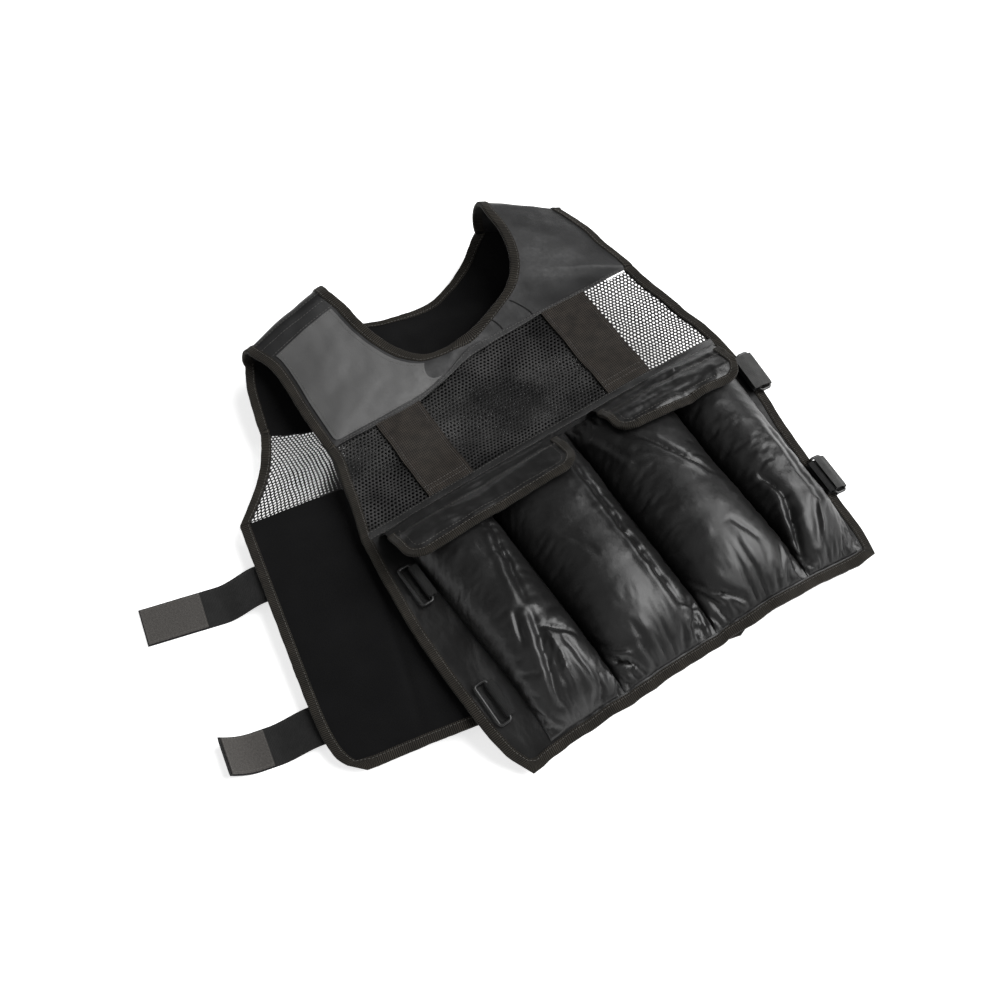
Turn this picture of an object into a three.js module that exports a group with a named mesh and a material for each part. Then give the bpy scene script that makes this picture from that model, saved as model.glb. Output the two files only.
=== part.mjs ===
// A weighted vest that lies on its back, its front swung a little over its back.
// Millimetres, +Z up. X runs across the front, Y from the front hem to the neck.
import * as THREE from 'three';

// Cloth and small parts
const CLOTH = 2.2;
const TAPE = 1.1;
const WEBBING = 1.8;
const GAP = 0.35;
const BINDING_SLACK = 0.7;
const UNDER_GAP = 0.6;
const POCKET_UNDER_GAP = 1.4;
const BACK_POCKET_UNDER_GAP = 0.9;
const FLAP_CLOTH = 1.6;
const FLAP_EDGE_DEPTH = 6;
const EDGE_DEPTH = 9;
const SEAM_STRIP = 9;
const RIM = 1.4;
const CALM_PASSES = 3;

// Front
const HALF_WIDTH = 216;
const PANEL_HEIGHT = 268;
const MESH_HEIGHT = 112;
const YOKE_HEIGHT = 122;
const FRONT_REST = 48;
const SHOULDER_RISE = 88;

// Back, turned against the front
const BACK_HALF_WIDTH = 214;
const BACK_PANEL_HEIGHT = 272;
const BACK_REST = 34;
const BACK_TURN = -12.5;
const BACK_HEM_ACROSS = -138;
const BACK_HEM_UP = 46;

// Weight pockets
const POCKET_THICKNESS = 33;
const POCKET_SPACE = 1.6;
const POCKET_HEM_MARGIN = 13;
const POCKET_TOP_MARGIN = 9;
const BACK_POCKET_MARGIN = 19;
const BACK_POCKET_HEM_MARGIN = 27;
const BACK_POCKET_LENGTH = 230;
const BACK_POCKET_FLATNESS = 1.25;

// Flaps, webbing, straps and rings
const FLAP_LENGTH = 58;
const FLAP_CORNER = 20;
const CHEST_WEBBING_WIDTH = 50;
const CHEST_WEBBING_OFFSET = 104;
const STRAP_WIDTH = 40;
const STRAP_THICKNESS = 1.8;
const UPPER_STRAP_LENGTH = 118;
const LOWER_STRAP_LENGTH = 88;
const UPPER_PAD_LENGTH = 58;
const LOWER_PAD_LENGTH = 40;
const HOOK_PAD_THICKNESS = 1.4;
const RING_LENGTH = 46;
const RING_DEPTH = 15;
const RING_WIRE = 3;
const RING_LIFT = 5.5;
const RING_LIFT_OVER_BINDING = 7.6;
const LOOP_WIDTH = 36;
const LOOP_THICKNESS = 1.2;

const DEGREE = Math.PI / 180;
const UP = new THREE.Vector3(0, 0, 1);

// Smooth interpolation through the rows of a table whose first column is the station.
function along(table, column, station) {
  const last = table.length - 1;
  if (station <= table[0][0]) return table[0][column];
  if (station >= table[last][0]) return table[last][column];
  let k = 0;
  while (table[k + 1][0] < station) k += 1;
  const span = table[k + 1][0] - table[k][0];
  const t = (station - table[k][0]) / span;
  const before = table[Math.max(k - 1, 0)];
  const after = table[Math.min(k + 2, last)];
  const slopeIn = (table[k + 1][column] - before[column]) / (table[k + 1][0] - before[0]) * span;
  const slopeOut = (after[column] - table[k][column]) / (after[0] - table[k][0]) * span;
  const t2 = t * t;
  const t3 = t2 * t;
  return (2 * t3 - 3 * t2 + 1) * table[k][column] + (t3 - 2 * t2 + t) * slopeIn
    + (3 * t2 - 2 * t3) * table[k + 1][column] + (t3 - t2) * slopeOut;
}

// Height from a table of rows up the cloth, with one column for each station across it.
function heightFrom(table, stations, across, up) {
  const row = stations.map((station, column) => [station, along(table, column + 1, up)]);
  return along(row, 1, across);
}

// Front outline, in shares of PANEL_HEIGHT and HALF_WIDTH: up, left, right
const PANEL_SIDES = [
  [0, -0.905, 0.905],
  [0.1, -0.972, 0.928],
  [0.3, -1.004, 0.945],
  [0.55, -1.008, 0.965],
  [0.8, -0.985, 0.998],
  [1, -0.955, 0.978],
];
// Mesh band, in shares of MESH_HEIGHT and HALF_WIDTH: up, left, right
const MESH_SIDES = [
  [0, -0.955, 0.978],
  [0.3, -0.912, 0.95],
  [0.6, -0.878, 0.915],
  [0.85, -0.846, 0.885],
  [1, -0.843, 0.875],
];
// Yoke seam, in shares of HALF_WIDTH and MESH_HEIGHT: across, up
const YOKE_SEAM = [
  [-1, 0.885],
  [-0.5, 0.88],
  [-0.3, 0.93],
  [-0.1, 1.03],
  [0.1, 1.06],
  [0.5, 1.065],
  [1, 1.05],
];
// Heights of the front cloth in shares of FRONT_REST, one column for each station across
const FRONT_STATIONS = [-1, -0.72, -0.4, 0, 0.36, 0.62, 1];
const PANEL_HEIGHTS = [
  [0, 0.2, 0.52, 0.7, 0.74, 0.86, 0.66, 0.38],
  [0.12, 0.55, 0.8, 0.88, 0.9, 0.93, 0.8, 0.42],
  [0.35, 0.86, 0.96, 0.99, 1, 0.98, 0.88, 0.48],
  [0.7, 0.94, 0.98, 1.01, 1.02, 1, 0.93, 0.6],
  [1, 1, 1.02, 1.04, 1.06, 1.04, 1, 0.86],
];
const MESH_HEIGHTS = [
  [0, 1, 1.02, 1.04, 1.06, 1.04, 1, 0.86],
  [0.5, 1.04, 1, 0.95, 0.93, 0.97, 0.98, 0.9],
  [1, 1.08, 1.06, 1.02, 1, 1, 0.98, 0.98],
];

function frontRow(sides, share) {
  return [along(sides, 1, share) * HALF_WIDTH, along(sides, 2, share) * HALF_WIDTH];
}

function panelPoint(across, up) {
  const [left, right] = frontRow(PANEL_SIDES, up);
  const x = left + (right - left) * (across + 1) / 2;
  const z = FRONT_REST * heightFrom(PANEL_HEIGHTS, FRONT_STATIONS, across, up);
  return new THREE.Vector3(x, up * PANEL_HEIGHT, z);
}

// The front cloth at a place given in millimetres from the middle of the hem.
function frontAt(x, y) {
  const up = y / PANEL_HEIGHT;
  const [left, right] = frontRow(PANEL_SIDES, Math.min(Math.max(up, 0), 1));
  return panelPoint(2 * (x - left) / (right - left) - 1, up);
}

function meshPoint(across, up) {
  const [left, right] = frontRow(MESH_SIDES, up);
  const x = left + (right - left) * (across + 1) / 2;
  const top = along(YOKE_SEAM, 1, across) * MESH_HEIGHT;
  const z = FRONT_REST * heightFrom(MESH_HEIGHTS, FRONT_STATIONS, across, up);
  return new THREE.Vector3(x, PANEL_HEIGHT + up * top, z);
}

// Neck edge of the front, from the left shoulder to the right one, in shares of HALF_WIDTH,
// of YOKE_HEIGHT above the yoke seam and of SHOULDER_RISE: across, up, high
const FRONT_NECK = [
  [-0.44, 1.04, 0.95],
  [-0.412, 0.9, 0.9],
  [-0.394, 0.71, 0.84],
  [-0.361, 0.52, 0.77],
  [-0.306, 0.34, 0.7],
  [-0.222, 0.205, 0.66],
  [-0.125, 0.172, 0.65],
  [-0.042, 0.18, 0.66],
  [0.051, 0.205, 0.68],
  [0.167, 0.262, 0.73],
  [0.269, 0.328, 0.8],
  [0.333, 0.418, 0.865],
  [0.375, 0.54, 0.92],
  [0.396, 0.656, 0.965],
  [0.407, 0.8, 1],
  [0.403, 1, 1.045],
];
// Armhole edges of the front yoke, from the shoulder to the yoke seam, in the same shares
const FRONT_ARMHOLE_LEFT = [
  [-0.88, 0.99, 0.7],
  [-0.838, 0.79, 0.68],
  [-0.833, 0.57, 0.66],
  [-0.843, 0.3, 0.64],
];
const FRONT_ARMHOLE_RIGHT = [
  [0.773, 0.828, 0.59],
  [0.824, 0.533, 0.58],
  [0.838, 0.336, 0.57],
  [0.861, 0.172, 0.55],
];
// The same edges of the back, which lies lower
const BACK_NECK = [
  [-0.426, 0.985, 0.4],
  [-0.37, 0.935, 0.33],
  [-0.296, 0.895, 0.28],
  [-0.213, 0.862, 0.24],
  [-0.13, 0.845, 0.2],
  [-0.042, 0.828, 0.17],
  [0.042, 0.828, 0.17],
  [0.139, 0.877, 0.18],
  [0.231, 0.943, 0.22],
  [0.296, 1, 0.29],
  [0.333, 1.033, 0.39],
  [0.356, 1.049, 0.48],
  [0.375, 1.041, 0.58],
];
const BACK_ARMHOLE_LEFT = [
  [-0.907, 0.99, 0.5],
  [-0.954, 0.835, 0.45],
  [-0.991, 0.63, 0.385],
  [-1.02, 0.435, 0.33],
];
const BACK_ARMHOLE_RIGHT = [
  [0.741, 0.787, 0.42],
  [0.676, 0.369, 0.33],
  [0.63, 0.041, 0.28],
  [0.61, -0.287, 0.25],
];
const YOKE_BASE = PANEL_HEIGHT + MESH_HEIGHT;

const yokePlace = ([across, up, high]) => new THREE.Vector3(
  across * HALF_WIDTH,
  YOKE_BASE + up * YOKE_HEIGHT,
  high * SHOULDER_RISE,
);
const curveThrough = (points) => new THREE.CatmullRomCurve3(points, false, 'centripetal');

// A yoke runs round the neck as a strip: its outer edge is an armhole, the yoke seam and the
// other armhole. Station 0 to 1 runs along the strip, share 0 to 1 from the neck outwards.
function yokeStrip(neckRows, leftRows, rightRows, seamAt, seamFrom, seamTo, swell) {
  const neck = curveThrough(neckRows.map(yokePlace));
  const left = curveThrough([...leftRows.map(yokePlace), seamAt(0)]);
  const right = curveThrough([...rightRows.map(yokePlace), seamAt(1)]);
  const outer = (station) => {
    if (station < seamFrom) return left.getPoint(station / seamFrom);
    if (station > seamTo) return right.getPoint((1 - station) / (1 - seamTo));
    return seamAt((station - seamFrom) / (seamTo - seamFrom));
  };
  return (station, share) => {
    const inner = neck.getPoint(station);
    const edge = outer(station);
    const rise = swell * inner.distanceTo(edge);
    const point = inner.lerp(edge, share);
    point.z += rise * Math.sin(Math.PI * share);
    return point;
  };
}

const SEAM_GAP = 0.5;
const FRONT_SEAM_FROM = 4 / 15;
const FRONT_SEAM_TO = 11 / 15;
const FRONT_SWELL = 0.028;

function frontSeamPoint(share) {
  const point = meshPoint(2 * share - 1, 1);
  point.y += SEAM_GAP;
  return point;
}

const frontYokePoint = yokeStrip(
  FRONT_NECK,
  FRONT_ARMHOLE_LEFT,
  FRONT_ARMHOLE_RIGHT,
  frontSeamPoint,
  FRONT_SEAM_FROM,
  FRONT_SEAM_TO,
  FRONT_SWELL,
);

// Back panel in its own turned frame, in shares of BACK_PANEL_HEIGHT and BACK_HALF_WIDTH:
// up, half width
const BACK_SIDES = [
  [0, 0.86],
  [0.04, 0.935],
  [0.1, 0.975],
  [0.22, 0.995],
  [0.6, 1],
  [1, 1],
];
const BACK_STATIONS = [-1, -0.6, 0, 0.6, 1];
// Heights of the back panel in shares of BACK_REST
const BACK_HEIGHTS = [
  [0, 0.36, 0.62, 0.7, 0.6, 0.32],
  [0.15, 0.5, 0.9, 0.98, 0.9, 0.48],
  [0.5, 0.66, 1, 1.03, 0.98, 0.6],
  [0.85, 0.7, 0.98, 1.03, 0.96, 0.6],
  [1, 0.7, 0.88, 0.94, 0.84, 0.6],
];

// Places and directions of the back, turned on the table against the front
function backTurned(vector) {
  return vector.applyAxisAngle(UP, BACK_TURN * DEGREE);
}

function backPlace(x, y, z) {
  const place = backTurned(new THREE.Vector3(x, y, z));
  place.x += BACK_HEM_ACROSS;
  place.y += BACK_HEM_UP;
  return place;
}

function backHeight(across, up) {
  return BACK_REST * heightFrom(BACK_HEIGHTS, BACK_STATIONS, across, up);
}

function backPoint(across, up) {
  const half = along(BACK_SIDES, 1, up) * BACK_HALF_WIDTH;
  return backPlace(across * half, up * BACK_PANEL_HEIGHT, backHeight(across, up));
}

// Back yoke seam and mesh band
const BACK_SEAM_DIP = 20;
const BACK_SEAM_SKEW = 0.7;
const BACK_MESH_BOW = 9;
const BACK_SEAM_FROM = 3 / 12;
const BACK_SEAM_TO = 9 / 12;
const BACK_SWELL = 0.01;

function backSeamPoint(share) {
  const left = yokePlace(BACK_ARMHOLE_LEFT[BACK_ARMHOLE_LEFT.length - 1]);
  const right = yokePlace(BACK_ARMHOLE_RIGHT[BACK_ARMHOLE_RIGHT.length - 1]);
  const point = left.lerp(right, share);
  point.y -= BACK_SEAM_DIP * Math.sin(Math.PI * Math.pow(share, BACK_SEAM_SKEW));
  return point;
}

const backYokePoint = yokeStrip(
  BACK_NECK,
  BACK_ARMHOLE_LEFT.slice(0, -1),
  BACK_ARMHOLE_RIGHT.slice(0, -1),
  backSeamPoint,
  BACK_SEAM_FROM,
  BACK_SEAM_TO,
  BACK_SWELL,
);

function backMeshPoint(across, up) {
  const low = backPoint(across, 1);
  const high = backSeamPoint((across + 1) / 2);
  const lowGap = backTurned(new THREE.Vector3(0, SEAM_GAP, 0));
  low.add(lowGap);
  high.y -= SEAM_GAP;
  low.lerp(high, up);
  low.x -= across * BACK_MESH_BOW * Math.sin(Math.PI * up);
  return low;
}

// One closed body between two grids of points, rims included.
function bodyBetween(top, bottom) {
  const rows = top.length;
  const columns = top[0].length;
  const positions = [];
  const triangles = [];
  for (const grid of [top, bottom]) {
    for (const row of grid) {
      for (const point of row) positions.push(point.x, point.y, point.z);
    }
  }
  const at = (side, j, i) => side * rows * columns + j * columns + i;
  const quad = (a, b, c, d) => triangles.push(a, b, c, a, c, d);
  for (let j = 0; j < rows - 1; j += 1) {
    for (let i = 0; i < columns - 1; i += 1) {
      quad(at(0, j, i), at(0, j, i + 1), at(0, j + 1, i + 1), at(0, j + 1, i));
      quad(at(1, j, i + 1), at(1, j, i), at(1, j + 1, i), at(1, j + 1, i + 1));
    }
  }
  for (let i = 0; i < columns - 1; i += 1) {
    quad(at(0, 0, i), at(1, 0, i), at(1, 0, i + 1), at(0, 0, i + 1));
    quad(at(0, rows - 1, i + 1), at(1, rows - 1, i + 1), at(1, rows - 1, i), at(0, rows - 1, i));
  }
  for (let j = 0; j < rows - 1; j += 1) {
    quad(at(0, j + 1, 0), at(1, j + 1, 0), at(1, j, 0), at(0, j, 0));
    quad(at(0, j, columns - 1), at(1, j, columns - 1), at(1, j + 1, columns - 1), at(0, j + 1, columns - 1));
  }
  return outwardGeometry(positions, triangles);
}

// A closed indexed geometry whose triangles face out.
function outwardGeometry(positions, triangles) {
  const corner = (k) => new THREE.Vector3().fromArray(positions, 3 * triangles[k]);
  let volume = 0;
  for (let k = 0; k < triangles.length; k += 3) {
    volume += corner(k).dot(corner(k + 1).cross(corner(k + 2)));
  }
  const facing = volume < 0 ? triangles.slice().reverse() : triangles;
  const geometry = new THREE.BufferGeometry();
  geometry.setAttribute('position', new THREE.Float32BufferAttribute(positions, 3));
  geometry.setIndex(facing);
  geometry.computeVertexNormals();
  return geometry;
}

function gridOf(pointAt, columns, rows, span = [-1, 1, 0, 1]) {
  const [west, east, south, north] = span;
  const grid = [];
  for (let j = 0; j <= rows; j += 1) {
    const row = [];
    for (let i = 0; i <= columns; i += 1) {
      row.push(pointAt(west + (east - west) * i / columns, south + (north - south) * j / rows));
    }
    grid.push(row);
  }
  return grid;
}

// Normals of a grid of points, turned to the upper side at its middle.
function gridNormals(grid) {
  const rows = grid.length;
  const columns = grid[0].length;
  const normals = grid.map((row, j) => row.map((point, i) => {
    const east = row[Math.min(i + 1, columns - 1)].clone().sub(row[Math.max(i - 1, 0)]);
    const north = grid[Math.min(j + 1, rows - 1)][i].clone().sub(grid[Math.max(j - 1, 0)][i]);
    return east.cross(north).normalize();
  }));
  const middle = normals[Math.floor(rows / 2)][Math.floor(columns / 2)];
  if (middle.z < 0) normals.forEach((row) => row.forEach((normal) => normal.negate()));
  return normals;
}

// Cloth: a grid of points on its middle surface with a normal for each.
function clothOf(grid) {
  return { grid, normals: gridNormals(grid) };
}

// Gives two cloths the same normals where they are sewn together, so that their edges run
// side by side. The sign is -1 where one of them is folded under the other.
function sew(first, second, sign = 1) {
  first.forEach((normal, k) => {
    const shared = normal.clone().addScaledVector(second[k], sign).normalize();
    first[k].copy(shared);
    second[k].copy(shared).multiplyScalar(sign);
  });
}

// Evens out the normals along a border that bends sharply.
function calm({ normals }, walk) {
  for (let pass = 0; pass < CALM_PASSES; pass += 1) {
    const before = walk.map(([j, i]) => normals[j][i].clone());
    walk.forEach(([j, i], k) => {
      const next = before[Math.min(k + 1, before.length - 1)];
      normals[j][i].add(before[Math.max(k - 1, 0)]).add(next).normalize();
    });
  }
}

function shifted({ grid, normals }, distance) {
  return grid.map((row, j) => row.map((point, i) => point.clone().addScaledVector(normals[j][i], distance)));
}

function sheet(cloth, thickness, offset = 0) {
  return bodyBetween(shifted(cloth, offset + thickness / 2), shifted(cloth, offset - thickness / 2));
}

// A body swept through sections of equal point count, with its flat ends filled.
function sweep(sections, outline) {
  const count = outline.length;
  const positions = [];
  sections.forEach((section) => section.forEach((point) => positions.push(point.x, point.y, point.z)));
  const triangles = [];
  for (let k = 0; k < sections.length - 1; k += 1) {
    const here = k * count;
    const next = here + count;
    for (let i = 0; i < count; i += 1) {
      const j = (i + 1) % count;
      triangles.push(here + i, here + j, next + j, here + i, next + j, next + i);
    }
  }
  const contour = outline.map(([a, b]) => new THREE.Vector2(a, b));
  const end = (sections.length - 1) * count;
  THREE.ShapeUtils.triangulateShape(contour, []).forEach(([a, b, c]) => {
    triangles.push(a, c, b);
    triangles.push(end + a, end + b, end + c);
  });
  return outwardGeometry(positions, triangles);
}

// Section of an edge binding: tape folded round the edge of a cloth and open towards it.
function bindingOutline(depth, cloth, slack) {
  const inner = cloth / 2 + slack;
  const outer = inner + TAPE;
  return [
    [-depth, inner],
    [GAP, inner],
    [GAP, -inner],
    [-depth, -inner],
    [-depth, -outer],
    [GAP + TAPE, -outer],
    [GAP + TAPE, outer],
    [-depth, outer],
  ];
}

// Stations of a bound edge: a point on the edge, the next point of the cloth inside it and the
// normal of the cloth there. A walk lists row, column, inside row, inside column.
function edgeStations({ grid, normals }, walk) {
  return walk.map(([j, i, insideJ, insideI]) => ({
    point: grid[j][i],
    inside: grid[insideJ][insideI],
    normal: normals[j][i],
  }));
}

function binding(stations, depth = EDGE_DEPTH, cloth = CLOTH, slack = BINDING_SLACK) {
  const outline = bindingOutline(depth, cloth, slack);
  const sections = stations.map((station, k) => {
    const before = stations[Math.max(k - 1, 0)].point;
    const after = stations[Math.min(k + 1, stations.length - 1)].point;
    const inward = station.inside.clone().sub(station.point);
    const side = (from, to) => {
      const across = to.clone().sub(from).cross(station.normal).normalize();
      return across.dot(inward) > 0 ? across.negate() : across;
    };
    const one = k === 0 ? side(station.point, after) : side(before, station.point);
    const two = k === stations.length - 1 ? one : side(station.point, after);
    const outward = one.clone().add(two).divideScalar(1 + one.dot(two));
    inward.multiplyScalar(1 / Math.max(-inward.dot(one), -inward.dot(two)));
    return outline.map(([a, b]) => {
      const place = station.point.clone().addScaledVector(station.normal, b);
      return a < 0 ? place.addScaledVector(inward, -a) : place.addScaledVector(outward, a);
    });
  });
  return sweep(sections, outline);
}

// Walks along the borders of a grid.
const countTo = (last) => Array.from({ length: last + 1 }, (_, k) => k);
const southWalk = (columns) => countTo(columns).map((i) => [0, i, 1, i]);
const westWalk = (rows) => countTo(rows).map((j) => [j, 0, j, 1]);
const eastWalk = (rows, columns) => countTo(rows).map((j) => [j, columns, j, columns - 1]);

// Down the left side, along the hem and up the right side, mitred at the corners.
function hemWalk(rows, columns) {
  const left = westWalk(rows).slice(1).reverse();
  const hem = southWalk(columns);
  hem[0] = [0, 0, 1, 1];
  hem[columns] = [0, columns, 1, columns - 1];
  const right = eastWalk(rows, columns).slice(1);
  return [...left, ...hem, ...right];
}

// Materials
function finish(color, roughness) {
  return new THREE.MeshStandardMaterial({ color, roughness, metalness: 0 });
}
const NYLON = finish(0x1b1b1c, 0.38);
const YOKE_CLOTH = finish(0x3a3a3b, 0.55);
const PATCH_CLOTH = finish(0x565554, 0.5);
const MESH_CLOTH = finish(0x151515, 0.8);
const LINING = finish(0x0d0d0e, 0.95);
const TAPE_CLOTH = finish(0x37342f, 0.85);
const WEBBING_CLOTH = finish(0x2a2622, 0.8);
const STRAP_CLOTH = finish(0x232323, 0.85);
const HOOK_CLOTH = finish(0x4a4845, 0.95);
const RING_PLASTIC = finish(0x0c0c0c, 0.4);

const vest = new THREE.Group();

function add(name, geometry, material, parent = vest) {
  const mesh = new THREE.Mesh(geometry, material);
  mesh.name = name;
  parent.add(mesh);
  return mesh;
}

// Front panel, mesh band and yoke. The yoke rolls over both shoulders.
const FRONT_COLUMNS = 20;
const PANEL_ROWS = 10;
const MESH_ROWS = 4;
const YOKE_SIDE_STATIONS = 4;
const YOKE_STEPS = 4;
const FOLD_STEPS = 4;
const FOLD_REACH = 0.56;
const FOLD_END = 0.97;

// Stations along a yoke: few down the armholes, and the columns of the mesh along the seam.
function yokeStations(seamFrom, seamTo, sideSteps, seamSteps) {
  const shoulder = countTo(sideSteps - 1).map((k) => seamFrom * k / sideSteps);
  const seam = countTo(seamSteps).map((k) => seamFrom + (seamTo - seamFrom) * k / seamSteps);
  const other = countTo(sideSteps - 1).map((k) => seamTo + (1 - seamTo) * (k + 1) / sideSteps);
  return [...shoulder, ...seam, ...other];
}

function yokeGrid(pointAt, stations) {
  return stations.map((station) => countTo(YOKE_STEPS).map((k) => pointAt(station, k / YOKE_STEPS)));
}

// Rows of cloth that roll over a shoulder from the front row down to the back row
function shoulderFold(front, back) {
  const line = front[front.length - 1].clone().sub(front[0]);
  const outward = UP.clone().cross(line).normalize();
  if (outward.y < 0) outward.negate();
  return countTo(FOLD_STEPS - 1).map((step) => {
    const t = FOLD_END * (step + 1) / FOLD_STEPS;
    return front.map((point, j) => {
      const reach = outward.clone().multiplyScalar(FOLD_REACH * (point.z - back[j].z));
      const curve = new THREE.CubicBezierCurve3(
        point,
        point.clone().add(reach),
        back[j].clone().add(reach),
        back[j],
      );
      return curve.getPoint(t);
    });
  });
}

const panel = clothOf(gridOf(panelPoint, FRONT_COLUMNS, PANEL_ROWS));
const meshLow = SEAM_GAP / MESH_HEIGHT;
const mesh = clothOf(gridOf(meshPoint, FRONT_COLUMNS, MESH_ROWS, [-1, 1, meshLow, 1]));
const frontStations = yokeStations(FRONT_SEAM_FROM, FRONT_SEAM_TO, YOKE_SIDE_STATIONS, FRONT_COLUMNS);
const frontRows = yokeGrid(frontYokePoint, frontStations);

const BACK_COLUMNS = 12;
const BACK_ROWS = 9;
const BACK_MESH_ROWS = 3;
const backStations = yokeStations(BACK_SEAM_FROM, BACK_SEAM_TO, YOKE_SIDE_STATIONS, BACK_COLUMNS);
const backRows = yokeGrid(backYokePoint, backStations);
const back = clothOf(gridOf(backPoint, BACK_COLUMNS, BACK_ROWS));
const backMesh = clothOf(gridOf(backMeshPoint, BACK_COLUMNS, BACK_MESH_ROWS));
const backYoke = clothOf(backRows);

const leftFold = shoulderFold(frontRows[0], backRows[0]);
const rightFold = shoulderFold(frontRows[frontRows.length - 1], backRows[backRows.length - 1]);
const frontYoke = clothOf([...leftFold.reverse(), ...frontRows, ...rightFold]);

const seamRows = (cloth, first) => cloth.normals.slice(first, first + 1)[0];
const outerNormals = (cloth, first, count) => cloth.normals
  .slice(first, first + count)
  .map((row) => row[YOKE_STEPS]);
sew(seamRows(panel, PANEL_ROWS), seamRows(mesh, 0));
sew(seamRows(mesh, MESH_ROWS), outerNormals(frontYoke, FOLD_STEPS + YOKE_SIDE_STATIONS, FRONT_COLUMNS + 1));
sew(seamRows(back, BACK_ROWS), seamRows(backMesh, 0));
sew(seamRows(backMesh, BACK_MESH_ROWS), outerNormals(backYoke, YOKE_SIDE_STATIONS, BACK_COLUMNS + 1));
sew(frontYoke.normals[0], backYoke.normals[0], -1);
sew(frontYoke.normals[frontYoke.normals.length - 1], backYoke.normals[backYoke.normals.length - 1], -1);

add('front_panel', sheet(panel, CLOTH), NYLON);
add('front_mesh', sheet(mesh, CLOTH), MESH_CLOTH);
add('front_yoke', sheet(frontYoke, CLOTH), YOKE_CLOTH);
add('back_panel', sheet(back, CLOTH), LINING);
add('back_mesh', sheet(backMesh, CLOTH), MESH_CLOTH);
add('back_yoke', sheet(backYoke, CLOTH), LINING);

// Edge bindings
const edgeOf = (cloth, walk) => binding(edgeStations(cloth, walk));
const neckWalk = (rows) => countTo(rows).map((j) => [j, 0, j, 1]);
const armholeWalk = (from, to) => countTo(to - from).map((k) => [from + k, YOKE_STEPS, from + k, YOKE_STEPS - 1]);
const meshSide = (cloth, rows, column, insideColumn) => edgeStations(
  cloth,
  countTo(rows).map((j) => [j, column, j, insideColumn]),
);

add('front_edge_binding', edgeOf(panel, hemWalk(PANEL_ROWS, FRONT_COLUMNS)), TAPE_CLOTH);
add('back_edge_binding', edgeOf(back, hemWalk(BACK_ROWS, BACK_COLUMNS)), TAPE_CLOTH);
add('front_neck_binding', edgeOf(frontYoke, neckWalk(frontYoke.grid.length - 1)), TAPE_CLOTH);
add('back_neck_binding', edgeOf(backYoke, neckWalk(backYoke.grid.length - 1)), TAPE_CLOTH);

const armholeRows = FOLD_STEPS + YOKE_SIDE_STATIONS;
const frontLast = frontYoke.grid.length - 1;
const backLast = backYoke.grid.length - 1;
add('front_armhole_binding_left', binding([
  ...edgeStations(frontYoke, armholeWalk(0, armholeRows)),
  ...meshSide(mesh, MESH_ROWS, 0, 1).reverse(),
]), TAPE_CLOTH);
add('front_armhole_binding_right', binding([
  ...meshSide(mesh, MESH_ROWS, FRONT_COLUMNS, FRONT_COLUMNS - 1),
  ...edgeStations(frontYoke, armholeWalk(frontLast - armholeRows, frontLast)),
]), TAPE_CLOTH);
add('back_armhole_binding_left', binding([
  ...edgeStations(backYoke, armholeWalk(0, YOKE_SIDE_STATIONS)),
  ...meshSide(backMesh, BACK_MESH_ROWS, 0, 1).reverse(),
]), TAPE_CLOTH);
add('back_armhole_binding_right', binding([
  ...meshSide(backMesh, BACK_MESH_ROWS, BACK_COLUMNS, BACK_COLUMNS - 1),
  ...edgeStations(backYoke, armholeWalk(backLast - YOKE_SIDE_STATIONS, backLast)),
]), TAPE_CLOTH);

// Seam strips on the front: one over the pocket tops, one along the lower edge of the yoke
const STRIP_LIFT = CLOTH / 2 + UNDER_GAP + TAPE / 2;
const STRIP_END = 0.94;
const stripPoint = (across, share) => {
  const y = (share - 0.5) * SEAM_STRIP;
  if (y < 0) return panelPoint(across, 1 + y / PANEL_HEIGHT);
  const top = along(YOKE_SEAM, 1, across) * MESH_HEIGHT;
  return meshPoint(across, y / top);
};
const stripCloth = clothOf(gridOf(stripPoint, FRONT_COLUMNS, 2, [-STRIP_END, STRIP_END, 0, 1]));
add('pocket_top_strip', sheet(stripCloth, TAPE, STRIP_LIFT), NYLON);

// A place on the front yoke given by its station and its distance in from the outer edge
function yokeInward(station, distance) {
  const length = frontYokePoint(station, 0).distanceTo(frontYokePoint(station, 1));
  return frontYokePoint(station, 1 - distance / length);
}
const seamStation = (share) => FRONT_SEAM_FROM + (FRONT_SEAM_TO - FRONT_SEAM_FROM) * share;
const yokeStripPoint = (share, inward) => yokeInward(seamStation(share), 1 + inward * SEAM_STRIP);
const YOKE_STRIP_ENDS = [0.035, 0.965];
const yokeStripCloth = clothOf(gridOf(yokeStripPoint, FRONT_COLUMNS, 1, [...YOKE_STRIP_ENDS, 0, 1]));
add('yoke_seam_strip', sheet(yokeStripCloth, TAPE, STRIP_LIFT), YOKE_CLOTH);

// Smooth patch on the left half of the yoke: it starts below the shoulder and ends where the
// yoke is narrow under the neck.
const PATCH_START = 0.055;
const PATCH_END_NECK = 0.35;
const PATCH_END_SEAM = 0.43;
const PATCH_THICKNESS = 0.8;
const PATCH_MARGIN = 4.5;
const PATCH_COLUMNS = 9;
const PATCH_CORNER = 4 / PATCH_COLUMNS;
function patchPoint(share, outward) {
  const end = PATCH_END_NECK + (PATCH_END_SEAM - PATCH_END_NECK) * outward;
  const station = share <= PATCH_CORNER
    ? PATCH_START + (FRONT_SEAM_FROM - PATCH_START) * share / PATCH_CORNER
    : FRONT_SEAM_FROM + (end - FRONT_SEAM_FROM) * (share - PATCH_CORNER) / (1 - PATCH_CORNER);
  const length = frontYokePoint(station, 0).distanceTo(frontYokePoint(station, 1));
  const inner = (EDGE_DEPTH + PATCH_MARGIN) / length;
  const outer = 1 - (Math.max(EDGE_DEPTH, SEAM_STRIP) + PATCH_MARGIN) / length;
  return frontYokePoint(station, inner + (outer - inner) * outward);
}
const PATCH_ROWS = 4;
const PATCH_LIFT = CLOTH / 2 + 1.4 * UNDER_GAP + PATCH_THICKNESS / 2;
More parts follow.
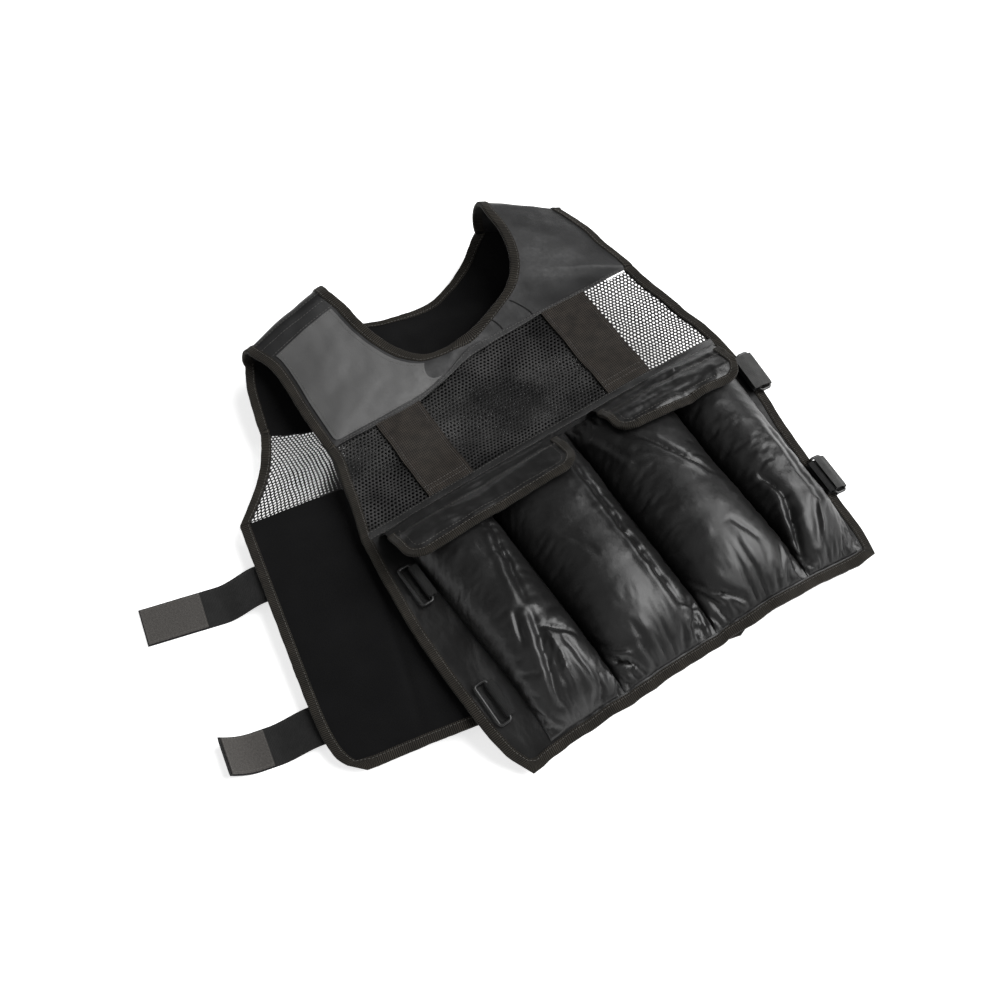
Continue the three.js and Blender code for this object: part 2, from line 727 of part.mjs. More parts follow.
const patchCloth = clothOf(gridOf(patchPoint, PATCH_COLUMNS, PATCH_ROWS, [0, 1, 0, 1]));
add('yoke_patch', sheet(patchCloth, PATCH_THICKNESS, PATCH_LIFT), PATCH_CLOTH);

// Chest webbing, down the mesh from the yoke seam to the strip over the pocket tops
const WEBBING_ROWS = 6;
const WEBBING_SEAM_GAP = 2.4;
function chestWebbing(name, middleX) {
  const pointAt = (side, share) => {
    const x = middleX + side * CHEST_WEBBING_WIDTH / 2;
    const [left, right] = frontRow(MESH_SIDES, share);
    const across = 2 * (x - left) / (right - left) - 1;
    const top = along(YOKE_SEAM, 1, across) * MESH_HEIGHT;
    const low = (SEAM_STRIP / 2 + GAP) / top;
    const high = 1 - WEBBING_SEAM_GAP / top;
    const point = meshPoint(across, low + (high - low) * share);
    point.x = x;
    return point;
  };
  const cloth = clothOf(gridOf(pointAt, 2, WEBBING_ROWS));
  add(name, sheet(cloth, WEBBING, CLOTH / 2 + UNDER_GAP + WEBBING / 2), WEBBING_CLOTH);
}
chestWebbing('chest_webbing_left', -CHEST_WEBBING_OFFSET);
chestWebbing('chest_webbing_right', CHEST_WEBBING_OFFSET);

// Weight pockets on the front, in shares of HALF_WIDTH: edge at the hem, edge at the top
const POCKET_EDGES = [
  [-0.79, -0.83],
  [-0.42, -0.425],
  [0.062, 0.078],
  [0.56, 0.545],
  [0.872, 0.905],
];
const POCKET_COLUMNS = 9;
const POCKET_ROWS = 11;
// Fullness up the pocket: up, share of POCKET_THICKNESS
const POCKET_FULLNESS = [
  [0, 0.02],
  [0.07, 0.42],
  [0.17, 0.82],
  [0.36, 1],
  [0.74, 0.98],
  [0.88, 0.8],
  [0.95, 0.5],
  [1, 0.06],
];
// Folds pressed into the pockets: pocket, across, up, turn in degrees, length, width, depth.
// Length and width are shares of the pocket's height, depth of POCKET_THICKNESS.
const POCKET_FOLDS = [
  [0, 0.66, 0.6, 100, 0.24, 0.03, -0.16],
  [0, 0.52, 0.26, 62, 0.12, 0.03, -0.2],
  [0, 0.8, 0.3, 118, 0.12, 0.03, 0.14],
  [1, 0.8, 0.62, 102, 0.3, 0.035, -0.2],
  [1, 0.86, 0.1, 70, 0.07, 0.05, -0.34],
  [1, 0.12, 0.12, 60, 0.08, 0.04, -0.26],
  [2, 0.34, 0.72, 120, 0.11, 0.028, -0.26],
  [2, 0.12, 0.12, 110, 0.12, 0.04, -0.3],
  [3, 0.5, 0.24, 96, 0.09, 0.045, -0.42],
  [3, 0.78, 0.2, 40, 0.1, 0.035, 0.12],
];

function crown(across) {
  return Math.pow(Math.max(1 - Math.pow(Math.abs(2 * across - 1), 2.4), 0), 0.6);
}

function pocketEdge(index, up) {
  const [hem, top] = POCKET_EDGES[index];
  return (hem + (top - hem) * up) * HALF_WIDTH;
}

const POCKET_LENGTH = PANEL_HEIGHT - POCKET_HEM_MARGIN - POCKET_TOP_MARGIN;

function foldDepth(pocket, across, up, width) {
  let depth = 0;
  POCKET_FOLDS.filter((fold) => fold[0] === pocket).forEach(([, foldAcross, foldUp, turn, length, breadth, share]) => {
    const dx = (across - foldAcross) * width;
    const dy = (up - foldUp) * POCKET_LENGTH;
    const angle = turn * DEGREE;
    const lengthwise = (dx * Math.cos(angle) + dy * Math.sin(angle)) / (length * POCKET_LENGTH);
    const crosswise = (dy * Math.cos(angle) - dx * Math.sin(angle)) / (breadth * POCKET_LENGTH);
    depth += share * Math.exp(-lengthwise * lengthwise - crosswise * crosswise);
  });
  return depth * POCKET_THICKNESS;
}

function pocketBulge(pocket, across, up) {
  const full = POCKET_THICKNESS * along(POCKET_FULLNESS, 1, up) * crown(across);
  const width = pocketEdge(pocket + 1, up) - pocketEdge(pocket, up);
  const folded = full + foldDepth(pocket, across, up, width) * crown(across) * crown(up);
  return RIM + Math.max(folded, 0);
}

const POCKET_LIFT = CLOTH / 2 + POCKET_UNDER_GAP;
function frontPocket(pocket) {
  const pointAt = (across, up) => {
    const left = pocketEdge(pocket, up) + POCKET_SPACE / 2;
    const right = pocketEdge(pocket + 1, up) - POCKET_SPACE / 2;
    const point = frontAt(left + (right - left) * across, POCKET_HEM_MARGIN + up * POCKET_LENGTH);
    point.z += POCKET_LIFT;
    return point;
  };
  const bottom = gridOf(pointAt, POCKET_COLUMNS, POCKET_ROWS, [0, 1, 0, 1]);
  const top = bottom.map((row, j) => row.map((point, i) => {
    const raised = point.clone();
    raised.z += pocketBulge(pocket, i / POCKET_COLUMNS, j / POCKET_ROWS);
    return raised;
  }));
  add(`pocket_front_${pocket + 1}`, bodyBetween(top, bottom), NYLON);
}
countTo(3).forEach(frontPocket);

// Flaps over the pocket tops: left edge, right edge, in shares of HALF_WIDTH
const FLAPS = { flap_left: [-0.88, -0.01], flap_right: [0.215, 0.885] };
const FLAP_COLUMNS = 12;
const FLAP_ROWS = 5;
const FLAP_BASE = PANEL_HEIGHT - SEAM_STRIP / 2 - 1;
const FLAP_BINDING_SLACK = 1.8;
const FLAP_REST = 5.4;
const FLAP_REACH = 16;

// Height of the pockets at a place on the front
function pocketHeightAt(x, y) {
  const up = (y - POCKET_HEM_MARGIN) / POCKET_LENGTH;
  if (up < 0 || up > 1) return 0;
  const pocket = countTo(3).find((k) => x >= pocketEdge(k, up) && x <= pocketEdge(k + 1, up));
  if (pocket === undefined) return 0;
  const left = pocketEdge(pocket, up);
  const right = pocketEdge(pocket + 1, up);
  return pocketBulge(pocket, (x - left) / (right - left), up);
}

// A flap bridges the valleys between the pockets, so it follows the highest point near by.
function flapHeight(x, y) {
  let height = 0;
  [-2, -1, 0, 1, 2].forEach((east) => [-1, 0, 1].forEach((north) => {
    const near = pocketHeightAt(x + east * FLAP_REACH / 2, y + north * FLAP_REACH / 2);
    height = Math.max(height, near);
  }));
  return height;
}

function flap(name) {
  const [leftShare, rightShare] = FLAPS[name];
  const pointAt = (across, down) => {
    const low = Math.max(down * FLAP_LENGTH - (FLAP_LENGTH - FLAP_CORNER), 0);
    const inset = FLAP_CORNER - Math.sqrt(Math.max(FLAP_CORNER * FLAP_CORNER - low * low, 0));
    const left = leftShare * HALF_WIDTH + inset;
    const right = rightShare * HALF_WIDTH - inset;
    const x = left + (right - left) * across;
    const y = FLAP_BASE - down * FLAP_LENGTH;
    const point = frontAt(x, y);
    const sewn = CLOTH / 2 + UNDER_GAP + FLAP_CLOTH / 2;
    const free = CLOTH / 2 + FLAP_REST + flapHeight(x, y);
    point.z += down === 0 ? sewn : free;
    return point;
  };
  const cloth = clothOf(gridOf(pointAt, FLAP_COLUMNS, FLAP_ROWS, [0, 1, 0, 0.97]));
  const down = countTo(FLAP_ROWS).slice(1).map((j) => [j, 0, j, 1]);
  const across = countTo(FLAP_COLUMNS).map((i) => [FLAP_ROWS, i, FLAP_ROWS - 1, i]);
  across[0] = [FLAP_ROWS, 0, FLAP_ROWS - 1, 1];
  across[FLAP_COLUMNS] = [FLAP_ROWS, FLAP_COLUMNS, FLAP_ROWS - 1, FLAP_COLUMNS - 1];
  const up = countTo(FLAP_ROWS).slice(1).reverse().map((j) => [j, FLAP_COLUMNS, j, FLAP_COLUMNS - 1]);
  const walk = [...down.slice(0, -1), ...across, ...up.slice(1)];
  calm(cloth, walk);
  add(name, sheet(cloth, FLAP_CLOTH), NYLON);
  const edge = binding(edgeStations(cloth, walk), FLAP_EDGE_DEPTH, FLAP_CLOTH, FLAP_BINDING_SLACK);
  add(`${name}_binding`, edge, TAPE_CLOTH);
}
Object.keys(FLAPS).forEach(flap);

// Weight pockets on the outside of the back, which carry the vest on the table
const BACK_POCKETS = 4;
const BACK_POCKET_COLUMNS = 6;
const BACK_POCKET_ROWS = 7;
function backPocket(index) {
  const width = (2 * BACK_HALF_WIDTH - 2 * BACK_POCKET_MARGIN) / BACK_POCKETS;
  const left = -BACK_HALF_WIDTH + BACK_POCKET_MARGIN + index * width + POCKET_SPACE / 2;
  const pointAt = (across, up) => {
    const x = left + (width - POCKET_SPACE) * across;
    const y = BACK_POCKET_HEM_MARGIN + up * BACK_POCKET_LENGTH;
    const share = y / BACK_PANEL_HEIGHT;
    const high = backHeight(x / (along(BACK_SIDES, 1, share) * BACK_HALF_WIDTH), share);
    return backPlace(x, y, high - CLOTH / 2 - BACK_POCKET_UNDER_GAP);
  };
  const top = gridOf(pointAt, BACK_POCKET_COLUMNS, BACK_POCKET_ROWS, [0, 1, 0, 1]);
  const bottom = top.map((row, j) => row.map((point, i) => {
    const round = crown(i / BACK_POCKET_COLUMNS) * crown(j / BACK_POCKET_ROWS);
    const full = Math.min(BACK_POCKET_FLATNESS * round, 1);
    const lowered = point.clone();
    lowered.z = (point.z - RIM) * (1 - full);
    return lowered;
  }));
  add(`pocket_back_${index + 1}`, bodyBetween(top, bottom), NYLON);
}
countTo(BACK_POCKETS - 1).forEach(backPocket);

// Ribbons of webbing: a line of points with a width across it
function ribbon(points, widthDirection, width, thickness, offset = 0) {
  const directionAt = (k) => (Array.isArray(widthDirection) ? widthDirection[k] : widthDirection);
  const grid = points.map((point, k) => [-0.5, 0.5].map((side) => (
    point.clone().addScaledVector(directionAt(k), side * width)
  )));
  const cloth = { grid, normals: gridNormals(grid) };
  if (cloth.normals[0][0].z < 0) cloth.normals.forEach((row) => row.forEach((normal) => normal.negate()));
  return sheet(cloth, thickness, offset);
}

// Side straps at the left edge of the back: they leave the underside of the edge, come down to
// the table and lie there. Rows give the distance out from the edge in millimetres of strap and
// the height of the strap's middle as a share of the height of the edge.
const STRAP_TUCK = 4;
const STRAP_DROP = CLOTH / 2 + BINDING_SLACK + TAPE + UNDER_GAP + STRAP_THICKNESS / 2;
const STRAP_REST = STRAP_THICKNESS / 2 + 0.1;
const SIDE_STRAPS = {
  side_strap_upper: { up: 0.77, turn: 15, length: UPPER_STRAP_LENGTH, pad: UPPER_PAD_LENGTH, curl: 0 },
  side_strap_lower: { up: 0.206, turn: 13, length: LOWER_STRAP_LENGTH, pad: LOWER_PAD_LENGTH, curl: 15 },
};
const STRAP_FALL = 42;
const STRAP_STEPS = 9;
const CURL_LENGTH = 30;

function sideStrap(name) {
  const { up, turn, length, pad, curl } = SIDE_STRAPS[name];
  const root = backPoint(-1, up);
  const direction = new THREE.Vector3(-Math.cos(turn * DEGREE), Math.sin(turn * DEGREE), 0);
  const widthDirection = UP.clone().cross(direction).normalize();
  const halfShare = STRAP_WIDTH / 2 / BACK_PANEL_HEIGHT;
  const start = Math.min(backPoint(-1, up - halfShare).z, backPoint(-1, up + halfShare).z) - STRAP_DROP;
  const pointAt = (distance) => {
    const fall = Math.min(Math.max(distance / STRAP_FALL, 0), 1);
    const eased = 1 - fall * fall * (3 - 2 * fall);
    const roll = Math.max((distance - (length - CURL_LENGTH)) / CURL_LENGTH, 0);
    const place = root.clone().addScaledVector(direction, distance);
    place.z = STRAP_REST + (start - STRAP_REST) * eased + curl * roll * roll;
    return place;
  };
  const stations = countTo(STRAP_STEPS).map((k) => -STRAP_TUCK + (length + STRAP_TUCK) * k / STRAP_STEPS);
  add(name, ribbon(stations.map(pointAt), widthDirection, STRAP_WIDTH, STRAP_THICKNESS), STRAP_CLOTH);
  const padStations = countTo(5).map((k) => length - 1 - pad + pad * k / 5);
  const padOffset = STRAP_THICKNESS / 2 + GAP + HOOK_PAD_THICKNESS / 2 + 0.15;
  add(
    `${name}_hook_pad`,
    ribbon(padStations.map(pointAt), widthDirection, STRAP_WIDTH - 2, HOOK_PAD_THICKNESS, padOffset),
    HOOK_CLOTH,
  );
}
Object.keys(SIDE_STRAPS).forEach(sideStrap);

// A ring lies flat in its own plane: X points away from the vest, Y along its edge.
function ringGeometry() {
  const rectangle = (shape, length, depth, radius) => {
    const x = depth / 2;
    const y = length / 2;
    shape.moveTo(-x + radius, -y);
    shape.lineTo(x - radius, -y);
    shape.quadraticCurveTo(x, -y, x, -y + radius);
    shape.lineTo(x, y - radius);
    shape.quadraticCurveTo(x, y, x - radius, y);
    shape.lineTo(-x + radius, y);
    shape.quadraticCurveTo(-x, y, -x, y - radius);
    shape.lineTo(-x, -y + radius);
    shape.quadraticCurveTo(-x, -y, -x + radius, -y);
  };
  const shape = new THREE.Shape();
  rectangle(shape, RING_LENGTH, RING_DEPTH, RING_WIRE);
  const hole = new THREE.Path();
  rectangle(hole, RING_LENGTH - 2 * RING_WIRE, RING_DEPTH - 2 * RING_WIRE, RING_WIRE / 3);
  shape.holes.push(hole);
  const geometry = new THREE.ExtrudeGeometry(shape, { depth: RING_WIRE, bevelEnabled: false, curveSegments: 2 });
  return geometry.translate(0, 0, -RING_WIRE / 2);
}

// Webbing folded half round a bar of a ring that runs along Y at the given X
const BAR_GAP = RING_WIRE / Math.SQRT2 + GAP / 2 + LOOP_THICKNESS / 2;
const BEND_STEPS = 4;
function bendRound(barX) {
  return countTo(BEND_STEPS).map((k) => {
    const angle = Math.PI * (k / BEND_STEPS - 0.5);
    return new THREE.Vector3(barX + Math.cos(angle) * BAR_GAP, 0, Math.sin(angle) * BAR_GAP);
  });
}

// Rings at the sides of the front. Each hangs in a webbing loop sewn beside the outer pocket.
const RING_BAR = RING_DEPTH / 2 - RING_WIRE / 2;
const RINGS = {
  ring_left_upper: { side: -1, up: 0.745, out: -23, lift: RING_LIFT },
  ring_left_lower: { side: -1, up: 0.245, out: -20, lift: RING_LIFT },
  ring_right_upper: { side: 1, up: 0.82, out: 1, lift: RING_LIFT_OVER_BINDING },
  ring_right_lower: { side: 1, up: 0.335, out: 3, lift: RING_LIFT_OVER_BINDING },
};
const LOOP_REACH = 6;

function ringFrame({ side, up, out, lift }) {
  const step = 0.02;
  const edge = panelPoint(side, up);
  const upward = panelPoint(side, up + step).sub(panelPoint(side, up - step)).normalize();
  const outward = edge.clone().sub(panelPoint(side * 0.9, up)).normalize();
  const normal = outward.clone().cross(upward).normalize();
  if (normal.z < 0) normal.negate();
  const lengthwise = normal.clone().cross(outward).normalize();
  const group = new THREE.Group();
  group.position.copy(edge).addScaledVector(outward, out).addScaledVector(normal, lift);
  group.quaternion.setFromRotationMatrix(new THREE.Matrix4().makeBasis(outward, lengthwise, normal));
  group.updateMatrix();
  vest.add(group);
  return group;
}

function ring(name) {
  const group = ringFrame(RINGS[name]);
  add(name, ringGeometry(), RING_PLASTIC, group);
  const end = -RING_BAR - LOOP_REACH;
  const line = [
    new THREE.Vector3(end, 0, -BAR_GAP),
    ...bendRound(-RING_BAR),
    new THREE.Vector3(end, 0, BAR_GAP),
  ];
  const lengthwise = new THREE.Vector3(0, 1, 0);
  add(name.replace('ring', 'loop'), ribbon(line, lengthwise, LOOP_WIDTH, LOOP_THICKNESS), WEBBING_CLOTH, group);
  return group;
}
const ringGroups = Object.fromEntries(Object.keys(RINGS).map((name) => [name, ring(name)]));

// The straps on the right come from the right edge of the back, pass under the front and are
// folded over the outer bars of their rings.
const RIGHT_STRAPS = {
  ring_strap_upper: { ring: 'ring_right_upper', up: 0.822, reach: 20 },
  ring_strap_lower: { ring: 'ring_right_lower', up: 0.336, reach: 12 },
};
const STRAP_OVER_LOOP = 2 * LOOP_THICKNESS + BAR_GAP;
const UNDER_PANEL = 7;

function ringStrap(name) {
  const { ring: ringName, up, reach } = RIGHT_STRAPS[name];
  const group = ringGroups[ringName];
  const place = (x, z) => new THREE.Vector3(x, 0, z).applyMatrix4(group.matrix);
  const over = [
    place(RING_BAR - reach, STRAP_OVER_LOOP),
    place(RING_BAR - reach / 2, STRAP_OVER_LOOP),
  ];
  const bend = bendRound(RING_BAR).reverse().map((point) => point.applyMatrix4(group.matrix));
  const low = -RINGS[ringName].lift - UNDER_PANEL;
  const under = [place(RING_BAR - 1, low * 0.8), place(RING_BAR - RING_DEPTH, low - 1.5)];
  const root = backPoint(1, up);
  const halfShare = STRAP_WIDTH / 2 / BACK_PANEL_HEIGHT;
  root.z = Math.min(backPoint(1, up - halfShare).z, backPoint(1, up + halfShare).z) - STRAP_DROP;
  const inwards = backTurned(new THREE.Vector3(-1, 0, 0));
  const outside = root.clone().addScaledVector(inwards, -EDGE_DEPTH);
  const half = under[1].clone().lerp(outside, 0.5);
  const line = [...over, ...bend, ...under, half, outside, root.clone().addScaledVector(inwards, STRAP_TUCK)];
  const ringWise = new THREE.Vector3(0, 1, 0).applyQuaternion(group.quaternion);
  const backWise = backTurned(new THREE.Vector3(0, 1, 0));
  const free = line.length - 4;
  const widths = line.map((point, k) => {
    const share = Math.min(Math.max((k - free) / 2, 0), 1);
    return ringWise.clone().lerp(backWise, share).normalize();
  });
  add(name, ribbon(line, widths, STRAP_WIDTH - 2, LOOP_THICKNESS), STRAP_CLOTH);
}
Object.keys(RIGHT_STRAPS).forEach(ringStrap);

const box = new THREE.Box3().setFromObject(vest);
const middle = box.getCenter(new THREE.Vector3());
vest.position.set(-middle.x, -middle.y, -box.min.z);

export default vest;
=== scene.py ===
# A weighted vest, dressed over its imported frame.
# Lengths are millimetres in the vest's own plan: X along the front hem, Y from the hem to the
# neck, Z up. make_mesh turns them into metres in the row's frame.
import math

import bpy
import numpy as np
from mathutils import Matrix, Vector
from mathutils.bvhtree import BVHTree


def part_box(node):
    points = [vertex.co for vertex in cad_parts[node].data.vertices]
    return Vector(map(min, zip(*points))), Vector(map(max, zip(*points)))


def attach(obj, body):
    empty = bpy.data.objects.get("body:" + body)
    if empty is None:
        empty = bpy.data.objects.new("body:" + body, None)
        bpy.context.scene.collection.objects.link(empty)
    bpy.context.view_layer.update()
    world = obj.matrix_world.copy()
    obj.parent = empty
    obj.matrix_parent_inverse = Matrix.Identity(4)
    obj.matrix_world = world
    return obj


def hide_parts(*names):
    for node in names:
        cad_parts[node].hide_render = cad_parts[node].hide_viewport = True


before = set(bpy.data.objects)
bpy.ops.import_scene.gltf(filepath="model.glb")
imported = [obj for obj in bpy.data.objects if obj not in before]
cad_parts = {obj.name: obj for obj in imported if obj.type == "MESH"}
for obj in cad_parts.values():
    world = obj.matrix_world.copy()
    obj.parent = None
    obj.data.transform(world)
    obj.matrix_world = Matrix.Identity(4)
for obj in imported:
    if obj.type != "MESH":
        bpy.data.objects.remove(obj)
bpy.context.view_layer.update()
MM = 0.001
# The lowest corner of front_mesh in the plan ties the plan to the row's frame.
FRONT_MESH_CORNER = np.array([-206.2, 268.4, 40.2])
SHIFT = np.array(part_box("front_mesh")[0]) / MM - FRONT_MESH_CORNER

# Sizes
CLOTH = 2.2
TAPE = 1.0
EDGE_DEPTH = 9
SEAM_STRIP = 9
HALF_WIDTH = 216
PANEL_HEIGHT = 268
MESH_HEIGHT = 112
YOKE_HEIGHT = 122
FRONT_REST = 48
SHOULDER_RISE = 88
BACK_HALF_WIDTH = 214
BACK_PANEL_HEIGHT = 272
BACK_REST = 34
BACK_TURN = math.radians(-12.5)
BACK_HEM = np.array([-138.0, 46.0, 0.0])
POCKET_THICKNESS = 33
POCKET_SPACE = 1.6
POCKET_HEM_MARGIN = 9.5
POCKET_TOP_MARGIN = 9
BACK_POCKET_MARGIN = 19
BACK_POCKET_HEM_MARGIN = 27
BACK_POCKET_LENGTH = 230
BACK_POCKET_FLATNESS = 1.25
FLAP_LENGTH = 58
FLAP_CORNER = 20
CHEST_WEBBING_WIDTH = 50
CHEST_WEBBING_OFFSET = 104
STRAP_WIDTH = 40
STRAP_THICKNESS = 1.8
RING_LENGTH = 46
RING_DEPTH = 15
RING_WIRE = 3
LOOP_WIDTH = 36
LOOP_THICKNESS = 1.2


# Interpolation and noise
def spread(*values):
    """The values as arrays of floats of one shape."""
    return np.broadcast_arrays(*(np.asarray(value, float) for value in values))


def hermite(xs, ys, at):
    """Smooth curve through ys, whose first axis is the stations xs and the rest at's shape."""
    xs = np.asarray(xs, float)
    at = np.clip(np.asarray(at, float), xs[0], xs[-1])
    last = len(xs) - 1
    k = np.clip(np.searchsorted(xs, at, side="left") - 1, 0, last - 1)
    before = np.maximum(k - 1, 0)
    after = np.minimum(k + 2, last)
    ys = np.broadcast_to(ys, (len(xs),) + at.shape)

    def pick(index):
        return np.take_along_axis(ys, index[None], 0)[0]

    span = xs[k + 1] - xs[k]
    t = (at - xs[k]) / span
    low, high = pick(k), pick(k + 1)
    slope_in = (high - pick(before)) / (xs[k + 1] - xs[before]) * span
    slope_out = (pick(after) - low) / (xs[after] - xs[k]) * span
    t2, t3 = t * t, t * t * t
    return (
        (2 * t3 - 3 * t2 + 1) * low
        + (t3 - 2 * t2 + t) * slope_in
        + (3 * t2 - 2 * t3) * high
        + (t3 - t2) * slope_out
    )


def fan(start, end, count):
    return np.linspace(start, end, count)


def shares_over(start, columns, rows):
    """A row of shares from start to 1 and a column of shares from 0 to 1."""
    return fan(start, 1, columns)[None], fan(0, 1, rows)[:, None]


def along(table, column, at):
    rows = np.asarray(table, float)
    at = np.asarray(at, float)
    ys = rows[:, column].reshape((-1,) + (1,) * at.ndim)
    return hermite(rows[:, 0], ys, at)


def height_from(table, stations, across, up):
    across, up = spread(across, up)
    ys = np.stack([along(table, column + 1, up) for column in range(len(stations))])
    return hermite(stations, ys, across)


def lattice(x, y, seed):
    mixed = x.astype(np.int64) * 374761393 + y.astype(np.int64) * 668265263 + seed * 144665
    mixed &= 0xFFFFFFFF
    mixed = ((mixed ^ (mixed >> 13)) * 1274126177) & 0xFFFFFFFF
    return (mixed ^ (mixed >> 16)) / 0xFFFFFFFF * 2 * np.pi


def waves(x, y, seed=0):
    """Smooth noise from about -1 to 1 with one bump to each unit of x and y.

    Its calls say their depth in millimetres first, then the lengths of a bump, then the seed.
    """
    x, y = spread(x, y)
    west, south = np.floor(x), np.floor(y)
    dx, dy = x - west, y - south

    def corner(east, north):
        angle = lattice(west + east, south + north, seed)
        return np.cos(angle) * (dx - east) + np.sin(angle) * (dy - north)

    u = dx**3 * (dx * (dx * 6 - 15) + 10)
    v = dy**3 * (dy * (dy * 6 - 15) + 10)
    low = corner(0, 0) * (1 - u) + corner(1, 0) * u
    high = corner(0, 1) * (1 - u) + corner(1, 1) * u
    return 1.5 * (low * (1 - v) + high * v)


def creases(x, y, seed=0):
    """Noise with sharp ridges, from about -1 to 1."""
    return 1 - 2 * np.abs(waves(x, y, seed)) ** 0.8


def blurred(values, passes):
    for _ in range(passes):
        padded = np.pad(values, 1, mode="edge")
        values = (
            padded[:-2, 1:-1] + padded[2:, 1:-1] + padded[1:-1, :-2] + padded[1:-1, 2:] + 2 * values
        ) / 6
    return values


# Outlines of the front, as in the frame. Sides: share of the height, then the left and right sides
# in half widths.
PANEL_SIDES = [
    [0, -0.905, 0.905],
    [0.1, -0.972, 0.928],
    [0.3, -1.004, 0.945],
    [0.55, -1.008, 0.965],
    [0.8, -0.985, 0.998],
    [1, -0.955, 0.978],
]
MESH_SIDES = [
    [0, -0.955, 0.978],
    [0.3, -0.912, 0.95],
    [0.6, -0.878, 0.915],
    [0.85, -0.846, 0.885],
    [1, -0.843, 0.875],
]
# Place across the mesh, then its height there in mesh heights
YOKE_SEAM = [
    [-1, 0.885],
    [-0.5, 0.88],
    [-0.3, 0.93],
    [-0.1, 1.03],
    [0.1, 1.06],
    [0.5, 1.065],
    [1, 1.05],
]
FRONT_STATIONS = [-1, -0.72, -0.4, 0, 0.36, 0.62, 1]
# Share of the height, then the cloth's rest height at each station across
PANEL_HEIGHTS = [
    [0, 0.2, 0.52, 0.7, 0.74, 0.86, 0.66, 0.38],
    [0.12, 0.55, 0.8, 0.88, 0.9, 0.93, 0.8, 0.42],
    [0.35, 0.86, 0.96, 0.99, 1, 0.98, 0.88, 0.48],
    [0.7, 0.94, 0.98, 1.01, 1.02, 1, 0.93, 0.6],
    [1, 1, 1.02, 1.04, 1.06, 1.04, 1, 0.86],
]
MESH_HEIGHTS = [
    [0, 1, 1.02, 1.04, 1.06, 1.04, 1, 0.86],
    [0.5, 1.04, 1, 0.95, 0.93, 0.97, 0.98, 0.9],
    [1, 1.08, 1.06, 1.02, 1, 1, 0.98, 0.98],
]
# Yoke edges: x in half widths, y in yoke heights over the mesh, z in shoulder rises
FRONT_NECK = [
    [-0.44, 1.04, 0.95],
    [-0.412, 0.9, 0.9],
    [-0.394, 0.71, 0.84],
    [-0.361, 0.52, 0.77],
    [-0.306, 0.34, 0.7],
    [-0.222, 0.205, 0.66],
    [-0.125, 0.172, 0.65],
    [-0.042, 0.18, 0.66],
    [0.051, 0.205, 0.68],
    [0.167, 0.262, 0.73],
    [0.269, 0.328, 0.8],
    [0.333, 0.418, 0.865],
    [0.375, 0.54, 0.92],
    [0.396, 0.656, 0.965],
    [0.407, 0.8, 1],
    [0.403, 1, 1.045],
]
FRONT_ARMHOLE_LEFT = [
    [-0.88, 0.99, 0.7],
    [-0.838, 0.79, 0.68],
    [-0.833, 0.57, 0.66],
    [-0.843, 0.3, 0.64],
]
FRONT_ARMHOLE_RIGHT = [
    [0.773, 0.828, 0.59],
    [0.824, 0.533, 0.58],
    [0.838, 0.336, 0.57],
    [0.861, 0.172, 0.55],
]
BACK_NECK = [
    [-0.426, 0.985, 0.4],
    [-0.37, 0.935, 0.33],
    [-0.296, 0.895, 0.28],
    [-0.213, 0.862, 0.24],
    [-0.13, 0.845, 0.2],
    [-0.042, 0.828, 0.17],
    [0.042, 0.828, 0.17],
    [0.139, 0.877, 0.18],
    [0.231, 0.943, 0.22],
    [0.296, 1, 0.29],
    [0.333, 1.033, 0.39],
    [0.356, 1.049, 0.48],
    [0.375, 1.041, 0.58],
]
BACK_ARMHOLE_LEFT = [
    [-0.907, 0.99, 0.5],
    [-0.954, 0.835, 0.45],
    [-0.991, 0.63, 0.385],
    [-1.02, 0.435, 0.33],
]
BACK_ARMHOLE_RIGHT = [
    [0.741, 0.787, 0.42],
    [0.676, 0.369, 0.33],
    [0.63, 0.041, 0.28],
    [0.61, -0.287, 0.25],
]
YOKE_BASE = PANEL_HEIGHT + MESH_HEIGHT
SEAM_GAP = 0.5
# Share of the yoke's stations at which its seam to the mesh starts and ends
FRONT_SEAM_FROM = 4 / 15
FRONT_SEAM_TO = 11 / 15
FRONT_SWELL = 0.028
# Share of the height, then the half width there in half widths of the back
BACK_SIDES = [
    [0, 0.86],
    [0.04, 0.935],
    [0.1, 0.975],
    [0.22, 0.995],
    [0.6, 1],
    [1, 1],
]
BACK_STATIONS = [-1, -0.6, 0, 0.6, 1]
BACK_HEIGHTS = [
    [0, 0.36, 0.62, 0.7, 0.6, 0.32],
    [0.15, 0.5, 0.9, 0.98, 0.9, 0.48],
    [0.5, 0.66, 1, 1.03, 0.98, 0.6],
    [0.85, 0.7, 0.98, 1.03, 0.96, 0.6],
    [1, 0.7, 0.88, 0.94, 0.84, 0.6],
]
BACK_SEAM_DIP = 20
BACK_SEAM_SKEW = 0.7
BACK_MESH_BOW = 9
BACK_SEAM_FROM = 3 / 12
BACK_SEAM_TO = 9 / 12
BACK_SWELL = 0.01


def place(x, y, z):
    return np.stack(spread(x, y, z), -1)


def unit(vectors):
    return vectors / np.maximum(np.linalg.norm(vectors, axis=-1, keepdims=True), 1e-9)


def lengths_of(line):
    """Distance from the start of a line at each of its points."""
    return np.concatenate([[0], np.cumsum(np.linalg.norm(np.diff(line, axis=0), axis=-1))])


def at_lengths(values, lengths, at):
    """A line's points or directions at distances from its start."""
    return np.stack([np.interp(at, lengths, values[:, axis]) for axis in range(3)], -1)


# Front panel and mesh
def panel_ripple(x, y):
    near_hem = np.exp(-np.maximum(y, 0) / 22)
    soft = 0.9 * waves(x / 46, y / 60, 3) + 0.5 * waves(x / 17, y / 25, 4)
    return soft + near_hem * (2.4 * waves(x / 24, y / 50, 5) + 1 * waves(x / 10, y / 40, 6))


